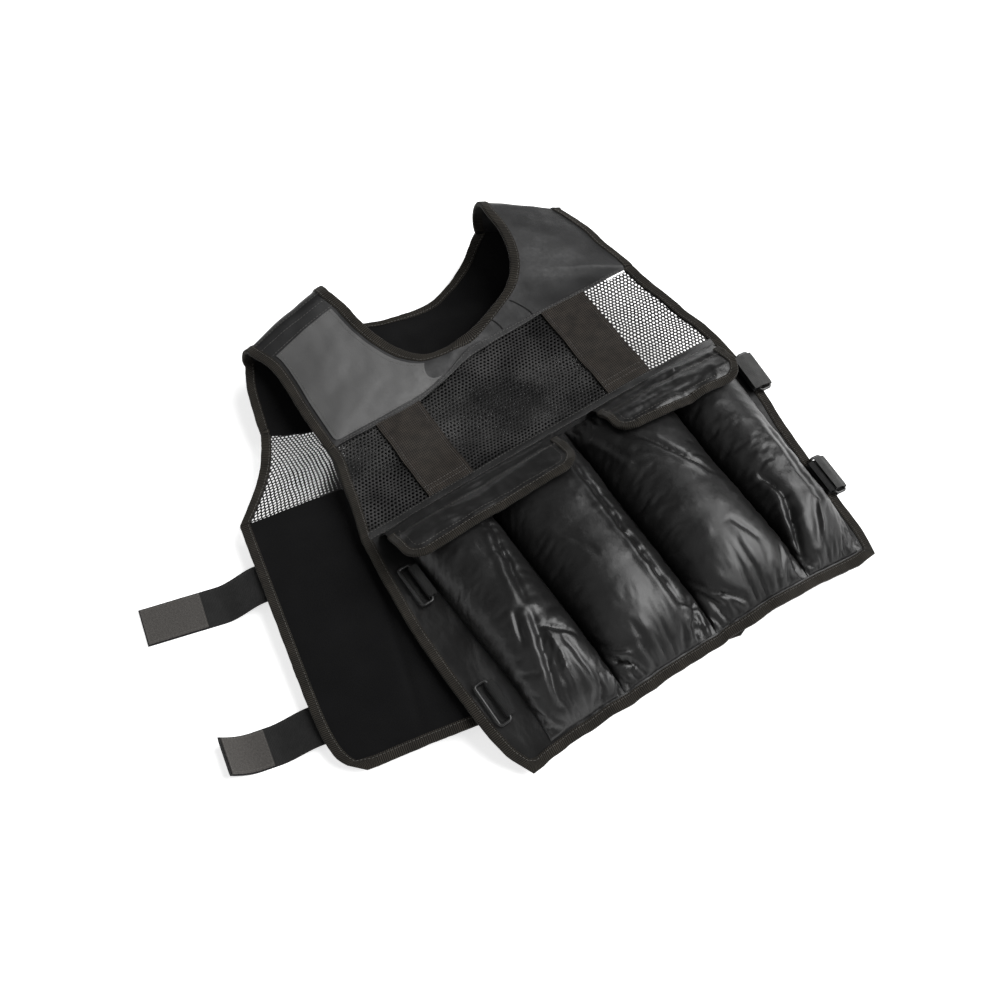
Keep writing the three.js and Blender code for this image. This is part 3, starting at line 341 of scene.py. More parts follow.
def panel_side_x(y, column):
    return along(PANEL_SIDES, column, np.asarray(y, float) / PANEL_HEIGHT) * HALF_WIDTH


def front_at(x, y):
    """The front panel's middle surface at a place of the plan."""
    x, y = spread(x, y)
    left, right = panel_side_x(y, 1), panel_side_x(y, 2)
    across = 2 * (x - left) / (right - left) - 1
    z = FRONT_REST * height_from(PANEL_HEIGHTS, FRONT_STATIONS, across, y / PANEL_HEIGHT)
    drawn = (1.9 * waves(x / 38, 0.5, 7) + 0.9 * waves(x / 13, 0.5, 8)) * np.exp(-np.maximum(y, 0) / 18)
    return place(x, y + drawn, z + panel_ripple(x, y))


def panel_place(across, up):
    y = np.asarray(up, float) * PANEL_HEIGHT
    left, right = panel_side_x(y, 1), panel_side_x(y, 2)
    return front_at(left + (right - left) * (np.asarray(across) + 1) / 2, y)


def mesh_place(across, up):
    across, up = spread(across, up)
    left = along(MESH_SIDES, 1, up) * HALF_WIDTH
    right = along(MESH_SIDES, 2, up) * HALF_WIDTH
    x = left + (right - left) * (across + 1) / 2
    top = along(YOKE_SEAM, 1, across) * MESH_HEIGHT
    z = FRONT_REST * height_from(MESH_HEIGHTS, FRONT_STATIONS, across, up)
    y = PANEL_HEIGHT + up * top
    loose = np.sin(np.pi * np.clip(up, 0, 1)) ** 0.7
    z = z + loose * (3 * waves(x / 46, y / 36, 11) + 1.6 * creases(x / 40 + y / 60, y / 48, 12))
    return place(x, y, z + panel_ripple(x, PANEL_HEIGHT) * (1 - loose))


def mesh_at(x, y):
    """The mesh band at a place of the plan."""
    x, y = spread(x, y)
    across = x / HALF_WIDTH
    for _ in range(3):
        up = (y - PANEL_HEIGHT) / (along(YOKE_SEAM, 1, across) * MESH_HEIGHT)
        left = along(MESH_SIDES, 1, up) * HALF_WIDTH
        right = along(MESH_SIDES, 2, up) * HALF_WIDTH
        across = 2 * (x - left) / (right - left) - 1
    return mesh_place(across, up), across, up


# Yokes
def yoke_place(rows):
    rows = np.asarray(rows, float)
    return place(rows[:, 0] * HALF_WIDTH, YOKE_BASE + rows[:, 1] * YOKE_HEIGHT, rows[:, 2] * SHOULDER_RISE)


def spline(points, at):
    """Centripetal curve through the points at shares of their count."""
    points = np.asarray(points, float)
    first = 2 * points[0] - points[1]
    final = 2 * points[-1] - points[-2]
    padded = np.vstack([first, points, final])
    at = np.clip(np.asarray(at, float), 0, 1) * (len(points) - 1)
    k = np.minimum(at.astype(int), len(points) - 2)
    t = (at - k)[..., None]
    p0, p1, p2, p3 = (padded[k + step] for step in range(4))

    def knot(a, b):
        return np.sum((a - b) ** 2, -1, keepdims=True) ** 0.25

    d0, d1, d2 = knot(p0, p1), knot(p1, p2), knot(p2, p3)
    m1 = ((p1 - p0) / d0 - (p2 - p0) / (d0 + d1) + (p2 - p1) / d1) * d1
    m2 = ((p2 - p1) / d1 - (p3 - p1) / (d1 + d2) + (p3 - p2) / d2) * d1
    return (
        p1
        + m1 * t
        + (-3 * p1 + 3 * p2 - 2 * m1 - m2) * t**2
        + (2 * p1 - 2 * p2 + m1 + m2) * t**3
    )


def yoke_grid(neck_rows, left_rows, right_rows, seam_at, seam_from, seam_to, swell, stations, shares):
    neck = spline(yoke_place(neck_rows), stations)
    left = spline(np.vstack([yoke_place(left_rows), seam_at(np.array([0.0]))]), stations / seam_from)
    right_share = (1 - stations) / (1 - seam_to)
    right = spline(np.vstack([yoke_place(right_rows), seam_at(np.array([1.0]))]), right_share)
    seam = seam_at(np.clip((stations - seam_from) / (seam_to - seam_from), 0, 1))
    before = (stations < seam_from)[:, None]
    after = (stations > seam_to)[:, None]
    outer = np.where(before, left, np.where(after, right, seam))
    share = shares[None, :, None]
    grid = neck[:, None] * (1 - share) + outer[:, None] * share
    rise = swell * np.linalg.norm(outer - neck, axis=-1)
    grid[..., 2] += rise[:, None] * np.sin(np.pi * shares)[None]
    return grid


def front_seam(share):
    point = mesh_place(2 * share - 1, 1.0)
    point[..., 1] += SEAM_GAP
    return point


def back_turned(vectors):
    c, s = math.cos(BACK_TURN), math.sin(BACK_TURN)
    x, y = vectors[..., 0], vectors[..., 1]
    return place(x * c - y * s, x * s + y * c, vectors[..., 2])


def back_ripple(x, y):
    soft = 1.1 * waves(x / 60, y / 70, 21) + 0.5 * waves(x / 22, y / 30, 22)
    crease = -2.2 * np.exp(-(((x + 128 - 0.1 * y) / 5) ** 2)) * np.clip(y / 60, 0, 1)
    return soft + crease


def back_at(x, y):
    """The back panel at a place of its own turned plan."""
    x, y = spread(x, y)
    up = y / BACK_PANEL_HEIGHT
    half = along(BACK_SIDES, 1, up) * BACK_HALF_WIDTH
    z = BACK_REST * height_from(BACK_HEIGHTS, BACK_STATIONS, x / half, up) + back_ripple(x, y)
    return back_turned(place(x, y, z)) + BACK_HEM


def back_place(across, up):
    across, up = spread(across, up)
    half = along(BACK_SIDES, 1, up) * BACK_HALF_WIDTH
    return back_at(across * half, up * BACK_PANEL_HEIGHT)


def back_seam(share):
    share = np.asarray(share, float)[..., None]
    left = yoke_place(BACK_ARMHOLE_LEFT)[-1]
    right = yoke_place(BACK_ARMHOLE_RIGHT)[-1]
    point = left * (1 - share) + right * share
    point[..., 1] -= BACK_SEAM_DIP * np.sin(np.pi * share[..., 0] ** BACK_SEAM_SKEW)
    return point


def back_mesh_place(across, up):
    across, up = spread(across, up)
    low = back_place(across, 1.0) + back_turned(np.array([0, SEAM_GAP, 0.0]))
    high = back_seam((across + 1) / 2)
    high[..., 1] -= SEAM_GAP
    point = low * (1 - up[..., None]) + high * up[..., None]
    point[..., 0] -= across * BACK_MESH_BOW * np.sin(np.pi * up)
    loose = np.sin(np.pi * np.clip(up, 0, 1))
    point[..., 2] += loose * 2.4 * waves(point[..., 0] / 48, point[..., 1] / 40, 23)
    return point


def normals_of(grid):
    """Normals of a grid of points, turned up at its middle."""
    rows = np.gradient(grid, axis=0)
    columns = np.gradient(grid, axis=1)
    normals = unit(np.cross(columns, rows))
    middle = normals[grid.shape[0] // 2, grid.shape[1] // 2]
    return normals if middle[2] > 0 else -normals


# Materials
def new_material(name, color, roughness, **sockets):
    """A material with the given values in its shader's sockets, named with _ for a space."""
    made = bpy.data.materials.new(name)
    made.use_nodes = True
    shader = made.node_tree.nodes["Principled BSDF"]
    shader.inputs["Base Color"].default_value = (*color, 1)
    shader.inputs["Roughness"].default_value = roughness
    for socket, value in sockets.items():
        shader.inputs[socket.replace("_", " ")].default_value = value
    made.diffuse_color = (*color, 1)
    return made


class Nodes:
    """Short calls for the nodes of one material."""

    def __init__(self, material):
        self.tree = material.node_tree
        self.shader = self.tree.nodes["Principled BSDF"]

    def new(self, kind, **values):
        node = self.tree.nodes.new(kind)
        for name, value in values.items():
            if hasattr(node, name):
                setattr(node, name, value)
            else:
                node.inputs[name.replace("_", " ")].default_value = value
        return node

    def link(self, source, target):
        self.tree.links.new(source, target)

    def uv(self, scale_u=1.0, scale_v=1.0, turn=0.0):
        source = self.new("ShaderNodeUVMap", uv_map="UVMap")
        mapping = self.new("ShaderNodeMapping")
        mapping.inputs["Scale"].default_value = (scale_u, scale_v, 1)
        mapping.inputs["Rotation"].default_value = (0, 0, turn)
        self.link(source.outputs["UV"], mapping.inputs["Vector"])
        return mapping.outputs["Vector"]

    def noise(self, vector, scale, detail=3.0, rough=0.5):
        """Noise with about scale bumps to the metre."""
        node = self.new("ShaderNodeTexNoise", Scale=scale, Detail=detail, Roughness=rough)
        self.link(vector, node.inputs["Vector"])
        return node.outputs["Fac"]

    def bands(self, vector, direction):
        node = self.new("ShaderNodeTexWave", wave_type="BANDS", bands_direction=direction, Scale=1.0)
        self.link(vector, node.inputs["Vector"])
        return node.outputs["Fac"]

    def math(self, operation, first, second):
        node = self.new("ShaderNodeMath", operation=operation)
        for k, value in enumerate((first, second)):
            if isinstance(value, (int, float)):
                node.inputs[k].default_value = value
            else:
                self.link(value, node.inputs[k])
        return node.outputs[0]

    def span(self, value, low, high, new_low, new_high):
        """The value with its range from low to high stretched to the new one."""
        node = self.new("ShaderNodeMapRange")
        for k, number in enumerate((low, high, new_low, new_high)):
            node.inputs[k + 1].default_value = number
        self.link(value, node.inputs[0])
        return node.outputs[0]

    def tint(self, value, dark, light):
        node = self.new("ShaderNodeMix", data_type="RGBA")
        node.inputs[6].default_value = (*dark, 1)
        node.inputs[7].default_value = (*light, 1)
        self.link(value, node.inputs[0])
        self.link(node.outputs[2], self.shader.inputs["Base Color"])

    def bump(self, heights):
        """Heights are pairs of a value and its depth in millimetres, laid over each other."""
        normal = None
        for height, depth in heights:
            node = self.new("ShaderNodeBump", Strength=1.0, Distance=depth * MM)
            self.link(height, node.inputs["Height"])
            if normal is not None:
                self.link(normal, node.inputs["Normal"])
            normal = node.outputs["Normal"]
        self.link(normal, self.shader.inputs["Normal"])


# A wave texture repeats 20 times over 2 pi units at scale 1, so this scale gives one band each mm.
BAND_PER_MM = 1000 * math.pi / 10


def woven(nodes, pitch_u, pitch_v):
    """Height of a plain weave with the given pitches in millimetres."""
    vector = nodes.uv(BAND_PER_MM / pitch_u, BAND_PER_MM / pitch_v)
    return nodes.math("MULTIPLY", nodes.bands(vector, "X"), nodes.bands(vector, "Y"))


def nylon_material(name, specular, crushed):
    made = new_material(name, (0.008, 0.008, 0.0082), 0.36, Specular_IOR_Level=specular)
    nodes = Nodes(made)
    vector = nodes.uv()
    wide = nodes.noise(vector, 22, 4)
    fine = nodes.noise(vector, 190, 3)
    nodes.tint(wide, (0.005, 0.005, 0.0052), (0.011, 0.0108, 0.0106))
    nodes.link(nodes.span(fine, 0.3, 0.7, 0.33, 0.4), nodes.shader.inputs["Roughness"])
    crush = nodes.noise(nodes.uv(1, 0.5, 0.5), 60, 2, 0.45)
    nodes.bump([(crush, crushed), (fine, 0.07), (woven(nodes, 0.55, 0.55), 0.03)])
    return made


def yoke_material(name, dark, light, roughness):
    made = new_material(name, light, roughness, Specular_IOR_Level=0.3)
    nodes = Nodes(made)
    vector = nodes.uv()
    wide = nodes.noise(vector, 14, 3)
    fine = nodes.noise(vector, 260, 2)
    nodes.tint(wide, dark, light)
    rough = nodes.span(fine, 0.3, 0.7, roughness - 0.05, roughness + 0.08)
    nodes.link(rough, nodes.shader.inputs["Roughness"])
    nodes.bump([(nodes.noise(nodes.uv(1, 0.5, 0.6), 34, 3), 0.8), (woven(nodes, 0.6, 0.6), 0.05)])
    return made


def net_material():
    sockets = {"Specular_IOR_Level": 0.22, "Sheen_Weight": 0.05}
    made = new_material("mesh_cloth", (0.012, 0.012, 0.012), 0.6, **sockets)
    nodes = Nodes(made)
    vector = nodes.uv()
    # The strands' darker and lighter bands are painted shade and light of the net's folds.
    fold_shade_and_light = nodes.span(nodes.noise(vector, 17, 2), 0.38, 0.62, 0, 1)
    nodes.tint(fold_shade_and_light, (0.0015, 0.0015, 0.0015), (0.03, 0.0295, 0.029))
    nodes.bump([(nodes.noise(nodes.uv(1, 3), 900, 2), 0.15)])
    return made


def lining_material():
    sockets = {"Specular_IOR_Level": 0.06, "Sheen_Weight": 0.03, "Sheen_Roughness": 0.6}
    made = new_material("lining", (0.004, 0.004, 0.0042), 0.95, **sockets)
    nodes = Nodes(made)
    vector = nodes.uv()
    fuzz = nodes.noise(vector, 700, 4, 0.7)
    nodes.tint(nodes.noise(vector, 26, 4), (0.0025, 0.0025, 0.0027), (0.006, 0.006, 0.0062))
    nodes.bump([(fuzz, 0.35), (nodes.noise(vector, 60, 3), 0.5)])
    return made


def tape_material():
    sockets = {"Specular_IOR_Level": 0.15, "Sheen_Weight": 0.05}
    made = new_material("binding_tape", (0.025, 0.022, 0.018), 0.8, **sockets)
    nodes = Nodes(made)
    ribs = nodes.bands(nodes.uv(BAND_PER_MM / 1.9, 1), "X")
    worn = nodes.noise(nodes.uv(), 60, 4)
    # The tape's colour is darkest in the grooves between the ribs, which is painted shade, and it also
    # varies at random with the noise.
    nodes.tint(nodes.math("MULTIPLY", ribs, worn), (0.002, 0.0018, 0.0015), (0.054, 0.047, 0.037))
    nodes.bump([(nodes.noise(nodes.uv(), 45, 3), 0.5), (ribs, 0.4)])
    return made


def webbing_material(name, dark, light, rib_along, rib_across):
    made = new_material(name, light, 0.7, Specular_IOR_Level=0.22, Sheen_Weight=0.05)
    nodes = Nodes(made)
    vector = nodes.uv(BAND_PER_MM / rib_across, BAND_PER_MM / rib_along)
    across = nodes.bands(vector, "X")
    lengthwise = nodes.bands(vector, "Y")
    height = nodes.math("ADD", across, nodes.math("MULTIPLY", lengthwise, 0.5))
    # The colour follows the weave's height and is darkest in its hollows, which is painted shade; it also
    # varies at random with the noise.
    nodes.tint(nodes.math("MULTIPLY", height, nodes.noise(nodes.uv(), 90, 3)), dark, light)
    nodes.bump([(height, 0.3), (nodes.noise(nodes.uv(), 400, 2), 0.1)])
    return made


def hook_material():
    made = new_material("hook_pad", (0.09, 0.084, 0.08), 0.95, Specular_IOR_Level=0.2, Sheen_Weight=0.1)
    nodes = Nodes(made)
    fuzz = nodes.noise(nodes.uv(), 520, 5, 0.75)
    nodes.tint(fuzz, (0.016, 0.015, 0.014), (0.1, 0.094, 0.088))
    nodes.bump([(fuzz, 0.9)])
    return made


def plastic_material():
    made = new_material("ring_plastic", (0.012, 0.012, 0.012), 0.34, Specular_IOR_Level=0.5)
    nodes = Nodes(made)
    source = nodes.new("ShaderNodeTexCoord")
    grain = nodes.noise(source.outputs["Object"], 900, 2)
    nodes.link(nodes.span(grain, 0.3, 0.7, 0.26, 0.42), nodes.shader.inputs["Roughness"])
    nodes.bump([(grain, 0.05)])
    return made


def thread_material():
    made = new_material("thread", (0.06, 0.057, 0.052), 0.6, Specular_IOR_Level=0.4)
    nodes = Nodes(made)
    source = nodes.new("ShaderNodeTexCoord")
    twist = nodes.noise(source.outputs["Object"], 2500, 1)
    nodes.tint(twist, (0.05, 0.048, 0.045), (0.15, 0.145, 0.135))
    return made


NYLON = nylon_material("nylon", 0.44, 0.55)
PANEL_NYLON = nylon_material("panel_nylon", 0.24, 1.5)
YOKE_CLOTH = yoke_material("yoke_cloth", (0.007, 0.007, 0.0073), (0.012, 0.012, 0.0124), 0.5)
# The yoke's narrow seams are the yoke cloth made near black: painted shade for the dark line of the pinched
# seam.
SEAM_CLOTH_PAINTED_SHADE = yoke_material("seam_cloth", (0.001, 0.001, 0.001), (0.002, 0.002, 0.002), 0.9)
# The patch's grey, much lighter than the yoke cloth, is painted sheen for the overhead light it reflects.
PATCH_CLOTH_PAINTED_SHEEN = yoke_material("patch_cloth", (0.062, 0.062, 0.062), (0.078, 0.0775, 0.077), 0.5)
NET = net_material()
LINING = lining_material()
TAPE_CLOTH = tape_material()
WEBBING = webbing_material("webbing", (0.0015, 0.0013, 0.001), (0.042, 0.034, 0.027), 2.6, 2.0)
STRAP = webbing_material("strap_webbing", (0.005, 0.005, 0.005), (0.021, 0.021, 0.021), 1.4, 1.1)
# The right straps use the same webbing as the other straps, made lighter: painted light where the key lamp
# falls on them.
RIGHT_STRAP_PAINTED_LIGHT = webbing_material("right_strap", (0.02, 0.02, 0.02), (0.09, 0.09, 0.088), 1.4, 1.1)
HOOK = hook_material()
PLASTIC = plastic_material()
THREAD = thread_material()


# Meshes
def make_mesh(name, points, faces, uv=None, sharp=55):
    mesh = bpy.data.meshes.new(name)
    points = (np.asarray(points, float).reshape(-1, 3) + SHIFT) * MM
    mesh.from_pydata(points.tolist(), [], [list(face) for face in faces])
    mesh.update()
    mesh.polygons.foreach_set("use_smooth", np.ones(len(mesh.polygons), bool))
    if sharp:
        mesh.set_sharp_from_angle(angle=math.radians(sharp))
    if uv is not None:
        layer = mesh.uv_layers.new(name="UVMap")
        index = np.empty(len(mesh.loops), np.int32)
        mesh.loops.foreach_get("vertex_index", index)
        layer.data.foreach_set("uv", (np.asarray(uv, float) * MM)[index].ravel())
    return mesh


def add_piece(name, mesh, material, slot, *nodes):
    piece = bpy.data.objects.new(name, mesh)
    bpy.context.scene.collection.objects.link(piece)
    mesh.materials.append(material)
    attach(piece, "root")
    if nodes:
        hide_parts(*nodes)
    return piece


def grid_faces(rows, columns, start=0, flip=False):
    j, i = np.meshgrid(np.arange(rows - 1), np.arange(columns - 1), indexing="ij")
    a = (start + j * columns + i).ravel()
    faces = np.stack([a, a + 1, a + columns + 1, a + columns], 1)
    return faces[:, ::-1] if flip else faces


def rim_faces(rows, columns):
    """Faces round the border of a grid and its copy that follows it."""
    below = rows * columns
    border = list(range(columns))
    border += [j * columns + columns - 1 for j in range(1, rows)]
    border += [(rows - 1) * columns + i for i in range(columns - 2, -1, -1)]
    border += [j * columns for j in range(rows - 2, 0, -1)]
    a = np.array(border)
    b = np.roll(a, -1)
    return np.stack([b, a, a + below, b + below], 1)


def arc_uv(grid):
    """Distances along the rows and the columns of a grid, in millimetres."""
    across = np.linalg.norm(np.diff(grid, axis=1), axis=-1)
    up = np.linalg.norm(np.diff(grid, axis=0), axis=-1)
    u = np.concatenate([np.zeros((grid.shape[0], 1)), np.cumsum(across, 1)], 1)
    v = np.concatenate([np.zeros((1, grid.shape[1])), np.cumsum(up, 0)], 0)
    u -= u.mean(1, keepdims=True)
    return np.stack([u, v], -1)


def two_sided(name, top, bottom, uv=None):
    rows, columns = top.shape[:2]
    count = rows * columns
    uv = arc_uv(top) if uv is None else uv
    faces = np.vstack(
        [
            grid_faces(rows, columns),
            grid_faces(rows, columns, count, flip=True),
            rim_faces(rows, columns),
        ]
    )
    east, north = top[0, 1] - top[0, 0], top[1, 0] - top[0, 0]
    if np.dot(np.cross(east, north), top[0, 0] - bottom[0, 0]) < 0:
        faces = faces[:, ::-1]
    points = np.vstack([top.reshape(-1, 3), bottom.reshape(-1, 3)])
    uvs = np.vstack([uv.reshape(-1, 2)] * 2)
    return make_mesh(name, points, faces, uvs)


def sheet_mesh(name, grid, thickness, offset=0.0, uv=None):
    normals = normals_of(grid)
    top = grid + normals * (offset + thickness / 2)
    bottom = grid + normals * (offset - thickness / 2)
    return two_sided(name, top, bottom, uv)


def cloth_sheet(name, grid, uv, material, slot, node):
    """A cloth round a grid of points, standing in for the named piece, which is hidden."""
    mesh = sheet_mesh(name, grid, CLOTH, uv=uv[..., :2])
    add_piece(name, mesh, material, slot, node)


# Edge bindings: tape folded round an edge and hugging the cloth on both sides
def inward_points(grid, distances):
    """Points at the given distances in from the first column of a grid, along its rows."""
    steps = np.linalg.norm(np.diff(grid, axis=1), axis=-1)
    lengths = np.concatenate([np.zeros((len(grid), 1)), np.cumsum(steps, 1)], 1)
    made = np.empty((len(grid), len(distances), 3))
    for row, (line, length) in enumerate(zip(grid, lengths)):
        for axis in range(3):
            made[row, :, axis] = np.interp(distances, length, line[:, axis])
    return made


TAPE_DISTANCES = np.array([0, 1.4, 3.3, 5.8, 8.4])
TAPE_SLACK = 0.25
# Share of the tape's thickness left at its cut edge
TAPE_HEM = 0.55
EDGE_ARC = np.radians([68, 36, 0, -36, -68])


def binding(name, inward, node, seed, cloth=CLOTH):
    """inward has a row of points for each station, from the edge inwards at TAPE_DISTANCES."""
    tangent = unit(np.gradient(inward, axis=0))
    inwards = unit(np.gradient(inward, axis=1))
    normals = unit(np.cross(tangent, inwards))
    if normals[len(normals) // 2, 0, 2] < 0:
        normals = -normals
    edge = inward[:, 0]
    outward = np.cross(tangent[:, 0], normals[:, 0])
    outward = unit(outward * -np.sign(np.sum(outward * inwards[:, 0], -1, keepdims=True)))
    length = lengths_of(edge)
    swollen = 0.22 * waves(length / 13, seed, 31) + 0.12 * waves(length / 4, seed, 32)
    inner = np.full(len(edge), cloth / 2 + TAPE_SLACK)
    outer = inner + TAPE + swollen
    last = len(TAPE_DISTANCES) - 1

    def face(k, side):
        height = inner + (outer - inner) * (TAPE_HEM if k == last else 1.0)
        return inward[:, k] + side * normals[:, k] * height[:, None]

    sections = [face(k, 1) for k in range(last, -1, -1)]
    for angle in EDGE_ARC:
        out = (0.3 + 1.35 * math.cos(angle)) * (1 + swollen)
        rise = outer * math.sin(angle) * 1.02
        sections.append(edge + outward * out[:, None] + normals[:, 0] * rise[:, None])
    sections += [face(k, -1) for k in range(last + 1)]
    for k in range(last, -1, -1):
        sections.append(inward[:, k] - normals[:, k] * inner[:, None])
    for k in range(last + 1):
        sections.append(inward[:, k] + normals[:, k] * inner[:, None])
    ring = np.stack(sections, 1)
    stations, corners = ring.shape[:2]
    j, i = np.meshgrid(np.arange(stations - 1), np.arange(corners), indexing="ij")
    a = (j * corners + i).ravel()
    b = (j * corners + (i + 1) % corners).ravel()
    faces = np.stack([a, b, b + corners, a + corners], 1).tolist()
    faces.append(list(range(corners))[::-1])
    end = (stations - 1) * corners
    faces.append(list(range(end, end + corners)))
    around = np.concatenate([[0], np.cumsum(np.linalg.norm(np.diff(ring, axis=1), axis=-1).mean(0))])
    uv = np.stack(np.broadcast_arrays(length[:, None], around[None]), -1)
    mesh = turned_out(make_mesh(name, ring, faces, uv.reshape(-1, 2)))
    add_piece(name, mesh, TAPE_CLOTH, "binding_tape", node)
    seam = inward[:, 3] * 0.7 + inward[:, 4] * 0.3
    lift = outer - STITCH_SINK
    stitch_row(seam + normals[:, 3] * lift[:, None], normals[:, 3])


def turned_out(mesh):
    """Turns a closed mesh's faces out."""
    mesh.calc_loop_triangles()
    corners = np.array([[mesh.vertices[v].co for v in t.vertices] for t in mesh.loop_triangles])
    volume = np.einsum("ij,ij->i", corners[:, 0], np.cross(corners[:, 1], corners[:, 2])).sum()
    if volume < 0:
        mesh.flip_normals()
    return mesh


# Stitches: short raised threads, gathered into one piece
STITCH_PITCH = 3.6
STITCH_LENGTH = 2.7
STITCH_WIDTH = 0.5
STITCH_HEIGHT = 0.42
STITCH_ROOT = 0.12
STITCH_START = 0.15
STITCH_SINK = 0.05
WEBBING_SINK = 0.1
stitch_points = []
stitch_faces = []


def stitch_row(line, normals):
    length = lengths_of(line)
    count = int(length[-1] / STITCH_PITCH)
    if count < 2:
        return
    starts = (np.arange(count) + STITCH_START) * STITCH_PITCH
    shares = np.array([0, 0.22, 0.78, 1.0])
    at = starts[:, None] + shares[None] * STITCH_LENGTH
    spine = at_lengths(line, length, at)
    normal = unit(at_lengths(normals, length, at))
    direction = unit(spine[:, -1] - spine[:, 0])[:, None]
    side = unit(np.cross(normal, direction))
    rises = np.array([-0.1, 1, 1, -0.1]) * STITCH_HEIGHT
    widths = np.array([0.45, 1, 1, 0.45]) * STITCH_WIDTH / 2
    crest = spine + normal * rises[None, :, None]
    left = spine + side * widths[None, :, None] - normal * STITCH_ROOT
    right = spine - side * widths[None, :, None] - normal * STITCH_ROOT
    block = np.stack([left, crest, right], 2).reshape(count, 12, 3)
    start = sum(len(points) for points in stitch_points)
    faces = [[0, 1, 2], [9, 11, 10]]
    for k in range(3):
        for i in range(3):
            a, b = 3 * k + i, 3 * k + (i + 1) % 3
            faces.append([a, a + 3, b + 3, b])
    stitch_points.append(block.reshape(-1, 3))
    for one in range(count):
        stitch_faces.extend([[start + one * 12 + v for v in face] for face in faces])


def stitches_on(grid, normals, lift, row=None, column=None):
    """A row of stitches along one row or column of a cloth's grid."""
    line = grid[row] if row is not None else grid[:, column]
    normal = normals[row] if row is not None else normals[:, column]
    stitch_row(line + normal * lift, normal)


def stitches_round(grid, normals, lift):
    """Stitches just inside all four sides of a cloth's grid."""
    for column in (1, -2):
        stitches_on(grid, normals, lift, column=column)
    for row in (1, -2):
        stitches_on(grid, normals, lift, row=row)


# Front cloth
panel = panel_place(*shares_over(-1, 170, 106))
cloth_sheet("front_panel_cloth", panel, panel, PANEL_NYLON, "nylon", "front_panel")

# Front yoke with its rolls over the shoulders
YOKE_SHARES = fan(0, 1, 26)
front_stations = fan(0, 1, 190)
front_rows = yoke_grid(
    FRONT_NECK,
    FRONT_ARMHOLE_LEFT,
    FRONT_ARMHOLE_RIGHT,
    front_seam,
    FRONT_SEAM_FROM,
    FRONT_SEAM_TO,
    FRONT_SWELL,
    front_stations,
    YOKE_SHARES,
)
back_stations = fan(0, 1, 120)
back_rows = yoke_grid(
    BACK_NECK,
    BACK_ARMHOLE_LEFT[:-1],
    BACK_ARMHOLE_RIGHT[:-1],
    back_seam,
    BACK_SEAM_FROM,
    BACK_SEAM_TO,
    BACK_SWELL,
    back_stations,
    YOKE_SHARES,
)


def yoke_ripple(grid, seed, depth):
    """Soft waves that fade at the outer edge, where the yoke is sewn."""
    x, y = grid[..., 0], grid[..., 1]
    fade = np.sin(np.pi * YOKE_SHARES)[None] ** 0.5
    return depth * fade * (waves(x / 40, y / 34, seed) + 0.4 * waves(x / 15, y / 15, seed + 1))


front_rows[..., 2] = blurred(front_rows[..., 2], 6)
front_rows[..., 2] += yoke_ripple(front_rows, 41, 1.8)
back_rows[..., 2] += yoke_ripple(back_rows, 43, 3)

FOLD_REACH = 0.56
FOLD_STEPS = 14


def shoulder_fold(front, back):
    line = front[-1] - front[0]
    outward = unit(np.cross([0, 0, 1.0], line))
    outward = outward if outward[1] > 0 else -outward
    reach = outward[None] * (FOLD_REACH * (front[:, 2] - back[:, 2]))[:, None]
    rows = []
    for step in range(1, FOLD_STEPS + 1):
        t = step / FOLD_STEPS
        rows.append(
            (1 - t) ** 3 * front
            + 3 * (1 - t) ** 2 * t * (front + reach)
            + 3 * (1 - t) * t**2 * (back + reach)
            + t**3 * back
        )
    return np.stack(rows)


left_fold = shoulder_fold(front_rows[0], back_rows[0])[::-1]
right_fold = shoulder_fold(front_rows[-1], back_rows[-1])
front_yoke = np.concatenate([left_fold, front_rows, right_fold])
front_yoke_normals = normals_of(front_yoke)
cloth_sheet(
    "front_yoke_cloth", front_yoke, front_yoke, YOKE_CLOTH, "yoke_cloth", "front_yoke"
)

for row in (FOLD_STEPS - 1, FOLD_STEPS + 3, FOLD_STEPS + 9):
    stitches_on(front_yoke, front_yoke_normals, CLOTH / 2 - STITCH_SINK, row=row)

# Back cloth, seen from its lining side
back_across, back_up = shares_over(-1, 150, 96)
back = back_place(back_across, back_up)
back_plan = place(back_across * BACK_HALF_WIDTH, back_up * BACK_PANEL_HEIGHT, 0)
cloth_sheet("back_panel_cloth", back, back_plan, LINING, "lining", "back_panel")
cloth_sheet("back_yoke_cloth", back_rows, back_rows, LINING, "lining", "back_yoke")

# Net: six-sided cells with a hole in each, on both sides of the cloth
NET_PITCH = 3.9
NET_HOLE = 1.36
NET_THICKNESS = 0.5
# Shares of that thickness, up and down from the middle, between the holes and at their rims
NET_THICK = 0.62
NET_THIN = 0.3
NET_KEYS_PER_MM = 20
NET_WARP = 0.9
NET_WARP_LENGTH = 17
FRONT_NET_REACH = 212
FRONT_NET_TOP = 1.08
FRONT_HOLE_SHARE = 0.93
BACK_NET_LENGTH = 130
# The net's cells end just inside the half width of its band
NET_EDGE = 0.99
# The back's net keeps its full holes left of this place, opening over this width; elsewhere
# # its holes are shrunk to a fifth, closing the net into a dark sheet: painted shade over the glowing
# floor.
OPEN_HOLES_FROM = 118
OPEN_HOLES_OVER = 24


